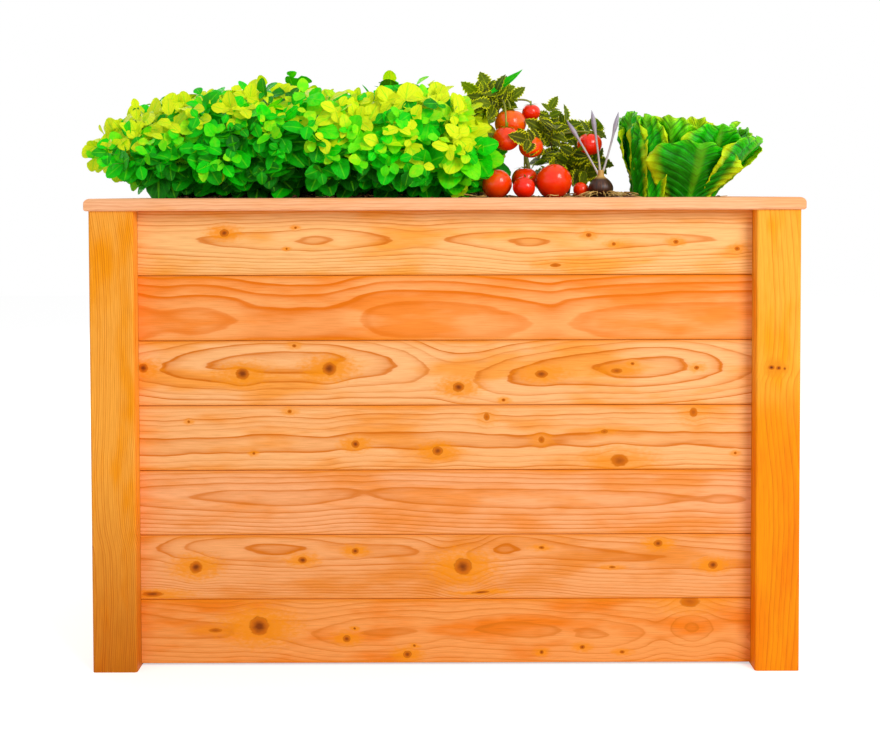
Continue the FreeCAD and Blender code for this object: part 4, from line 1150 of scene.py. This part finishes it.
FRUITS = (  # centre, radius, lean of the stalk end (0, 0 is straight up)
    ((0.0932, -0.1622, 0.8246), 0.027, (-0.5, 0.9)), ((0.1402, -0.1842, 0.8183), 0.020, (0.4, 0.9)),
    ((0.1952, -0.1622, 0.8291), 0.032, (-0.3, 1.2)), ((0.2462, -0.1422, 0.8138), 0.015, (0.8, 0.3)),
    ((0.1202, -0.1062, 0.9363), 0.029, (0.0, 0.0)), ((0.1102, -0.1542, 0.9063), 0.024, (0.1, 0.1)),
    ((0.1562, -0.1342, 0.8923), 0.022, (0.0, 0.1)), ((0.1602, -0.0802, 0.9583), 0.017, (0.0, 0.0)),
    ((0.1462, -0.1122, 0.8343), 0.024, (0.0, 0.0)), ((0.2662, -0.1042, 0.8983), 0.023, (0.0, 0.0)),
)
STEM_FOOT = np.array([0.1582, -0.0702, 0.7985])
STEM_BEND = STEM_FOOT + np.array([-0.016, 0.004, 0.106])
STEM_TOP = STEM_FOOT + np.array([-0.058, -0.014, 0.178])
FRUITS_ON_TOP = (4, 5, 7)  # trusses that leave the vine at its top; the next three leave at its bend
FRUITS_ON_BEND = (6, 8, 9)


def vine_parts():
    """The vine as one curve of two arcs, and a curved truss to the top of each hanging fruit."""
    arcs = (
        (STEM_FOOT, (0.004, 0, 0.06), STEM_BEND, 0.0046, 0.0038),
        (STEM_BEND, (-0.014, 0.002, 0.045), STEM_TOP, 0.0038, 0.0030),
    )
    vine = [
        tubes(bends(start[None], (start + rise)[None], end[None], 10), np.linspace(thick, thin, 10), 8)
        for start, rise, end, thick, thin in arcs
    ]
    hanging = [FRUITS[k] for k in FRUITS_ON_TOP + FRUITS_ON_BEND]
    ends = np.array([(x, y, z + 0.84 * radius) for (x, y, z), radius, _ in hanging])
    starts = np.array([STEM_TOP] * len(FRUITS_ON_TOP) + [STEM_BEND] * len(FRUITS_ON_BEND))
    over = np.stack([ends[:, 0], ends[:, 1], np.maximum(starts[:, 2], ends[:, 2]) + 0.012], -1)
    return [*vine, tubes(bends(starts, over, ends, 12), np.linspace(0.0022, 0.0015, 12), 6)]


lot = np.random.default_rng(4711)
CROWN = (  # foot, tip, leaflet size
    ((0.097, -0.084, 0.962), (0.060, -0.096, 0.994), 0.030),
    ((0.099, -0.080, 0.965), (0.080, -0.078, 1.004), 0.028),
    ((0.101, -0.084, 0.965), (0.110, -0.092, 1.000), 0.026),
    ((0.100, -0.086, 0.962), (0.124, -0.094, 0.984), 0.026),
    ((0.098, -0.088, 0.958), (0.062, -0.106, 0.966), 0.026),
    ((0.100, -0.080, 0.960), (0.092, -0.040, 0.990), 0.028),
    ((0.104, -0.084, 0.958), (0.120, -0.060, 0.970), 0.026),
    ((0.098, -0.084, 0.956), (0.074, -0.110, 0.980), 0.032),
    ((0.100, -0.084, 0.956), (0.094, -0.112, 0.992), 0.032),
    ((0.100, -0.086, 0.954), (0.084, -0.118, 0.970), 0.030),
)
SHOOT = (
    ((0.196, -0.020, 0.912), (0.200, -0.034, 0.968), 0.028),
    ((0.186, -0.110, 0.884), (0.144, -0.168, 0.904), 0.029),
    ((0.200, -0.070, 0.895), (0.176, -0.110, 0.925), 0.030),
    ((0.200, -0.060, 0.890), (0.196, -0.130, 0.930), 0.032),
    ((0.222, -0.010, 0.880), (0.228, -0.048, 0.940), 0.032),
    ((0.238, 0.000, 0.880), (0.286, -0.036, 0.930), 0.034),
    ((0.226, -0.020, 0.850), (0.262, -0.100, 0.846), 0.036),
    ((0.216, -0.020, 0.850), (0.206, -0.108, 0.862), 0.034),
    ((0.222, -0.010, 0.840), (0.236, -0.112, 0.884), 0.034),
    ((0.240, 0.000, 0.840), (0.286, -0.060, 0.868), 0.034),
)
HIDDEN = 13  # leaves that fill the second shoot's far side
turn = np.arange(HIDDEN) * 2.4
reach = np.linspace(0.55, 1.0, HIDDEN)[:, None]
hidden_foot = np.stack([np.full(HIDDEN, 0.236), np.full(HIDDEN, 0.04), np.linspace(0.93, 0.83, HIDDEN)], -1)
hidden_way = np.stack([0.056 * np.cos(turn), 0.086 * np.sin(turn), np.full(HIDDEN, 0.02)], -1)
hidden_tip = hidden_foot + hidden_way * reach
foot = np.concatenate([np.array([entry[0] for entry in CROWN + SHOOT]), hidden_foot])
tip = np.concatenate([np.array([entry[1] for entry in CROWN + SHOOT]), hidden_tip])
leaflet = np.concatenate([[entry[2] for entry in CROWN + SHOOT], np.full(HIDDEN, 0.034)])
facing = unit(np.array([0.1, -0.9, 0.45]) + lot.normal(0, 0.25, foot.shape))
facing[-HIDDEN:] = unit(np.stack([np.cos(turn), np.sin(turn), np.full(HIDDEN, 1.2)], -1))
leaflets, ribs = feathered(foot, tip, facing, leaflet, 0.28 + 0.12 * (tip[:, 2] > 0.93), lot)
shoot_line = np.array([(0.240, 0.042, 0.797), (0.262, 0.035, 0.88), (0.200, -0.010, 0.95)])
shoot_path = bends(*shoot_line[:, None], 12)
curled = blades(
    lambda v: 0.10 * np.maximum(np.sin(np.pi * np.clip(v, 0, 0.985) ** 1.15), 0.03), np.linspace(0, 1, 12), 5,
    np.array([[0.072, -0.112, 0.986]]), np.array([[0.9, 0.0, 0.42]]), np.array([[-0.3, -0.9, 0.5]]),
    np.array([0.082]), np.array([-0.28]), np.array([4.0]), np.array([0.30]), lot,
)
TOMATO_LEAF_TONES = ((0.0, 30, 36, 0), (0.3, 70, 78, 0), (0.6, 120, 140, 0), (0.9, 206, 226, 6))
tomato_leaf_finish = leaf_finish(
    "tomato_leaf", TOMATO_LEAF_TONES, tone(170, 180, 6), tone(46, 54, 0), vein_count=3.0, vein_force=0.5,
    shine=0.5, through=0.25, rim=tone(252, 255, 6),
)
tomato_stem_finish = stem_finish("tomato_stem", tone(96, 86, 26), tone(150, 160, 40))
piece("tomato_leaflets", "tomato_foliage", tomato_leaf_finish, [leaflets])
piece("tomato_curled_leaf", "tomato_foliage", herb_finish, [curled])
piece(
    "tomato_leaf_ribs", "tomato_foliage", tomato_stem_finish,
    [ribs, tubes(shoot_path, 0.0028, 8)],
)
piece("tomato_vine", "tomato_stem", tomato_stem_finish, vine_parts())

# ---------------------------------------------------------------- tomatoes
# Ripe glossy fruits, a little flattened and shouldered, each with a green star and the stub of its stalk.
FRUIT_FLATTEN = 0.9
SEPALS = 6


def fruit_parts(centre, radius, lean, lot):
    """Skin on a (polar, turn) grid: r = R sin(polar)^0.92 (1 + 0.018 cos 5 turn), height 0.9 R cos polar.

    A dimple lies at the stalk, under six sepals and the stub.
    """
    polar, angle = around(18, 24)
    ribbed = 1 + 0.018 * np.cos(5 * angle + lot.uniform(0, 6)) * np.sin(polar)
    flat = radius * np.maximum(np.sin(polar), 0.0) ** 0.92 * ribbed
    up = radius * (FRUIT_FLATTEN * np.cos(polar) - 0.13 * np.exp(-((polar / 0.38) ** 2)))
    axis = unit(np.array([lean[0], lean[1], 1.0]))
    side = unit(np.cross(axis, np.array([0.9, 0.1, 0.3])))
    other = np.cross(axis, side)
    turned = lambda a, b, c: a[..., None] * side + b[..., None] * other + c[..., None] * axis
    skin = centre + turned(flat * np.cos(angle), flat * np.sin(angle), up)
    leaf = np.stack([angle / np.pi - 1, polar / np.pi, np.full(polar.shape, lot.random())], -1)
    body = sheet(skin, leaf, closed=True, flip=True)
    star = np.arange(SEPALS) * 2 * np.pi / SEPALS + lot.uniform(0, 1)
    outward = np.stack([np.cos(star), np.sin(star)], -1) @ np.stack([side, other])
    top = centre + axis * radius * (FRUIT_FLATTEN - 0.09)
    sepals = blades(
        lambda v: 0.16 * (1 - v) ** 0.6 + 0.01, np.linspace(0, 1, 6), 3, np.repeat(top[None], SEPALS, 0),
        outward + 0.25 * axis, np.repeat(axis[None], SEPALS, 0), np.full(SEPALS, radius * 0.85),
        lot.uniform(-0.1, 0.5, SEPALS), np.full(SEPALS, 1.5), np.full(SEPALS, 0.5), lot,
    )
    stalk = bends(
        top[None] - axis * 0.002, top[None] + axis * radius * 0.25,
        top[None] + axis * radius * 0.42 + side * radius * 0.1, 5,
    )
    return body, [sepals, tubes(stalk, 0.0016, 6)]


def fruit_finish():
    """Tomato skin: red with paler streaks from the stalk end and a glossy coat."""
    material, tree, place = finish_of("tomato_skin")
    leaf, _ = carried(tree)
    _, v, own = put(tree, "SeparateXYZ", out=None, i0=leaf)
    factor = noise(place, 60.0, 1.0) * 0.5 + (own * 0.5 + v * 0.3)
    colour = ramp(factor, [(0.2, 255, 116, 0), (0.5, 255, 72, 0), (0.95, 252, 34, 0)])
    surface = principled(
        colour, 0.22, Coat_Weight=0.25, Coat_Roughness=0.08, Specular_IOR_Level=0.3, Subsurface_Weight=0.05,
        Subsurface_Scale=0.004,
    )
    return show(material, surface)


skins, greens = [], []
for centre, radius, lean in FRUITS:
    body, green = fruit_parts(np.array(centre), radius, lean, lot)
    skins.append(body)
    greens.extend(green)
piece("tomato_skins", "tomatoes", fruit_finish(), skins)
piece("tomato_stars", "tomatoes", tomato_leaf_finish, greens)

# ---------------------------------------------------------------- sprouting bulb
# A dark papery bulb set on the soil: a ribbed body with a tan neck, three pale shoots that end in pointed
# buds, and straw-like roots spread round its foot.
BULB_FOOT = np.array([0.2792, -0.1602, 0.7995])
BULB_RADIUS = 0.022
BULB_HEIGHT = 0.040
NECK_HEIGHT = 0.010


def bulb_body():
    """Turned body r(h) = R sin(pi (h / 0.8)^0.85)^0.62 up to the neck, with 22 papery ribs."""
    levels = np.concatenate([[0.0], np.linspace(0.0, 1.0, 20), [1.0]])
    h, angle = np.meshgrid(levels, np.linspace(0, 2 * np.pi, 44, endpoint=False), indexing="ij")
    round_part = BULB_RADIUS * np.maximum(np.sin(np.pi * np.clip(h / 0.8, 0.02, 1) ** 0.85), 0.0) ** 0.62
    neck = 0.0072 - 0.0020 * h
    r = np.maximum(round_part, neck) * (1 + 0.035 * np.cos(22 * angle + 3 * h))
    r[[0, -1]] = 0.0
    points = np.stack([r * np.cos(angle), r * np.sin(angle), h * (BULB_HEIGHT + NECK_HEIGHT)], -1) + BULB_FOOT
    leaf = np.stack([angle / np.pi - 1, h, np.zeros(h.shape)], -1)
    return sheet(points, leaf, closed=True)


def bulb_shoots():
    """Three shoots from the neck that lean to the right by -30, -8 and 15 degrees and end in a bud."""
    lean = np.radians([-30.0, -8.0, 15.0])
    start = BULB_FOOT + np.outer(np.sin(lean), (0.004, 0, 0))
    start[:, 2] += BULB_HEIGHT + NECK_HEIGHT - 0.012
    way = np.stack([np.sin(lean), np.array([0.05, -0.03, 0.04]), np.cos(lean)], -1)
    end = start + way * np.array([[0.118], [0.120], [0.120]])
    paths = bends(start, (start + end) / 2 + np.array([0.003, 0, 0]), end, 16)
    swell = np.array([2.4, 2.2, 2.0, 1.9, 1.8, 1.8, 1.8, 1.8, 1.9, 2.0, 2.4, 3.6, 4.4, 3.9, 2.2, 0.2]) / 1000
    return tubes(paths, swell, 10)


def bulb_roots(count, lot):
    """Thin roots that run out over the soil round the foot."""
    angle = lot.uniform(0, 2 * np.pi, count)
    out = np.stack([np.cos(angle), np.sin(angle), np.zeros(count)], -1)
    start = BULB_FOOT + out * 0.010 + np.array([0, 0, 0.006])
    reach = lot.uniform(0.018, 0.040, count)[:, None]
    middle = start + out * reach * 0.5
    middle[:, 2] += lot.uniform(0.002, 0.014, count)
    end = start + out * reach + lot.normal(0, 0.006, (count, 3))
    end[:, 2] = BULB_FOOT[2] + lot.uniform(0.001, 0.008, count)
    return tubes(bends(start, middle, end, 7), np.linspace(0.0009, 0.0004, 7), 4)


def bulb_finish():
    """Dark brown papery skin with lengthwise streaks, tan at the neck."""
    material, tree, _ = finish_of("bulb_skin")
    leaf, _ = carried(tree)
    streak = noise(leaf, (22.0, 3.0, 1.0), 3.0)
    dark = ramp(streak, [(0.3, 34, 16, 8), (0.6, 70, 36, 20), (0.8, 132, 84, 52)])
    height = put(tree, "SeparateXYZ", out=1, i0=leaf)
    neck = put(tree, "MapRange", i0=height, i1=0.66, i2=0.76, i3=0.0, i4=1.0)
    return show(material, principled(mix(neck, dark, tone(206, 160, 78)), 0.42, (0.5, 0.001, streak)))


piece("bulb_body", "sprouting_bulb", bulb_finish(), [bulb_body()])
shoot_finish = stem_finish("bulb_shoot", tone(198, 190, 186), tone(150, 138, 156), 0.35)
piece("bulb_shoots", "sprouting_bulb", shoot_finish, [bulb_shoots()])
root_finish = stem_finish("bulb_root", tone(196, 142, 60), tone(240, 206, 120))
piece("bulb_roots", "sprouting_bulb", root_finish, [bulb_roots(60, lot)])

# ---------------------------------------------------------------- cabbage
# A loose head of ribbed leaves. Outer leaves fan out and roll over at their rims, which are paler; inner
# ones stand up and crumple at the top.
CABBAGE_MIDDLE = np.array([0.4262, -0.1262, 0.7995])
CABBAGE_HEIGHT = 146.0  # mm
CABBAGE_LEAN = 12.0  # mm to the right at its full height
CABBAGE_FALL = 0.12  # mm that the tips fall for each mm to the right
# Turn, foot radius, widest radius, height, half spread and roll at the rim, in mm and degrees.
CABBAGE_LEAVES = (
    (-86, 64, 112, 96, 48, 8), (-30, 60, 122, 120, 42, 14), (192, 84, 106, 142, 30, 2),
    (152, 76, 114, 134, 38, 5), (70, 60, 120, 126, 44, 10), (20, 60, 124, 130, 42, 12),
    (-142, 80, 103, 136, 26, 2), (-62, 40, 96, 132, 44, 8), (8, 42, 104, 140, 44, 8),
    (110, 42, 100, 140, 46, 8), (176, 40, 92, 144, 40, 5), (-118, 36, 82, 138, 40, 6),
    (-12, 30, 84, 146, 42, 6), (60, 30, 78, 146, 44, 6), (136, 30, 74, 146, 44, 5), (-80, 24, 60, 142, 46, 5),
    (30, 16, 52, 140, 60, 4), (200, 16, 48, 140, 60, 4), (-20, 12, 44, 136, 66, 3), (100, 10, 38, 134, 70, 3),
    (240, 8, 34, 132, 75, 3), (330, 6, 26, 130, 80, 3), (160, 4, 22, 128, 85, 2), (60, 3, 15, 128, 100, 2),
    (250, 2, 10, 126, 120, 2),
)


def cabbage_leaf(order, turn, foot, wide, tall, spread, roll, lot):
    """A leaf on (u in -1..1 across, v in 0..1 up).

    Radius foot + (wide - foot) sin(pi/2 min(1.05 v, 1))^1.3, angle turn + u spread (0.75 + 0.25 sin(pi (0.08
    + 0.62 v))), height tall v (1 - 0.24 |u|^2.5), plus the midrib, side ribs, ruffles at the rim and the
    rolled edge. The whole leans to +X with its height, and its top falls that way.
    """
    v, u = np.meshgrid(np.linspace(0, 1, 44), np.linspace(-1, 1, 41), indexing="ij")
    phase = lot.uniform(0, 6.28, 6)
    rim = np.clip(np.maximum(v, np.abs(u) * (0.35 + 0.65 * v)), 0, 1) ** 3
    crumple = np.sin(9 * u + 4 * v + phase[0]) * np.sin(8 * v - 5 * u + phase[1]) + 0.6 * np.sin(
        19 * u + phase[2]
    ) * np.sin(15 * v + phase[3])
    midrib = np.exp(-((u / (0.15 * (1.15 - v))) ** 2)) * (1.1 - v)
    wave = np.mod(6.5 * (v - 0.42 * np.abs(u)), 1.0)
    side_rib = np.exp(-(((wave - 0.5) / 0.16) ** 2)) * np.clip(np.abs(u) * 6, 0, 1) * (1 - 0.5 * rim)
    out = 5.0 * midrib + 2.6 * side_rib + (1.2 + 5.5 * rim) * crumple + roll * rim * v
    radius = foot + (wide - foot) * np.sin(np.pi / 2 * np.clip(v * 1.05, 0, 1)) ** 1.3 + out
    angle = np.radians(turn + u * spread * (0.75 + 0.25 * np.sin(np.pi * (0.08 + 0.62 * v))))
    height = tall * v * (1 - 0.24 * np.abs(u) ** 2.5) + 2.5 * rim * np.sin(14 * u + phase[4]) * v
    x, y = radius * np.cos(angle), radius * np.sin(angle)
    height = height - CABBAGE_FALL * x * v**2
    points = np.stack([x + CABBAGE_LEAN * height / CABBAGE_HEIGHT, y, height], -1) / 1000 + CABBAGE_MIDDLE
    leaf = np.stack([u, v, np.full(u.shape, lot.random())], -1)
    inner = np.clip((90 - wide) / 40, 0, 1)
    base = 0.29 - 0.08 * (order == 0) + 0.42 * inner * v
    # Painted shade: the crumples' dents are painted a little darker and their bulges a little lighter.
    tint = base + 0.42 * rim * v**2 + 0.08 * side_rib + 0.16 * midrib + 0.06 * crumple + 0.4 * np.clip(
        0.2 - v, 0, 1,
    )
    return sheet(points, leaf, tint)


lot = np.random.default_rng(1618)
CABBAGE_TONES = (
    (0.0, 8, 110, 0), (0.3, 28, 168, 0), (0.5, 36, 214, 4), (0.72, 130, 242, 10), (0.95, 230, 255, 20),
)
cabbage_finish = leaf_finish(
    "cabbage_leaf", CABBAGE_TONES, tone(120, 190, 20), tone(20, 84, 0), vein_count=6.5, vein_force=0.75,
    shine=0.45, through=0.12, rim=tone(224, 248, 10),
)
leaves = [cabbage_leaf(k, *leaf, lot) for k, leaf in enumerate(CABBAGE_LEAVES)]
cabbage = piece("cabbage_leaves", "cabbage", cabbage_finish, leaves)
thickness = cabbage.modifiers.new("thickness", "SOLIDIFY")
thickness.thickness = 0.0009
thickness.offset = -1.0
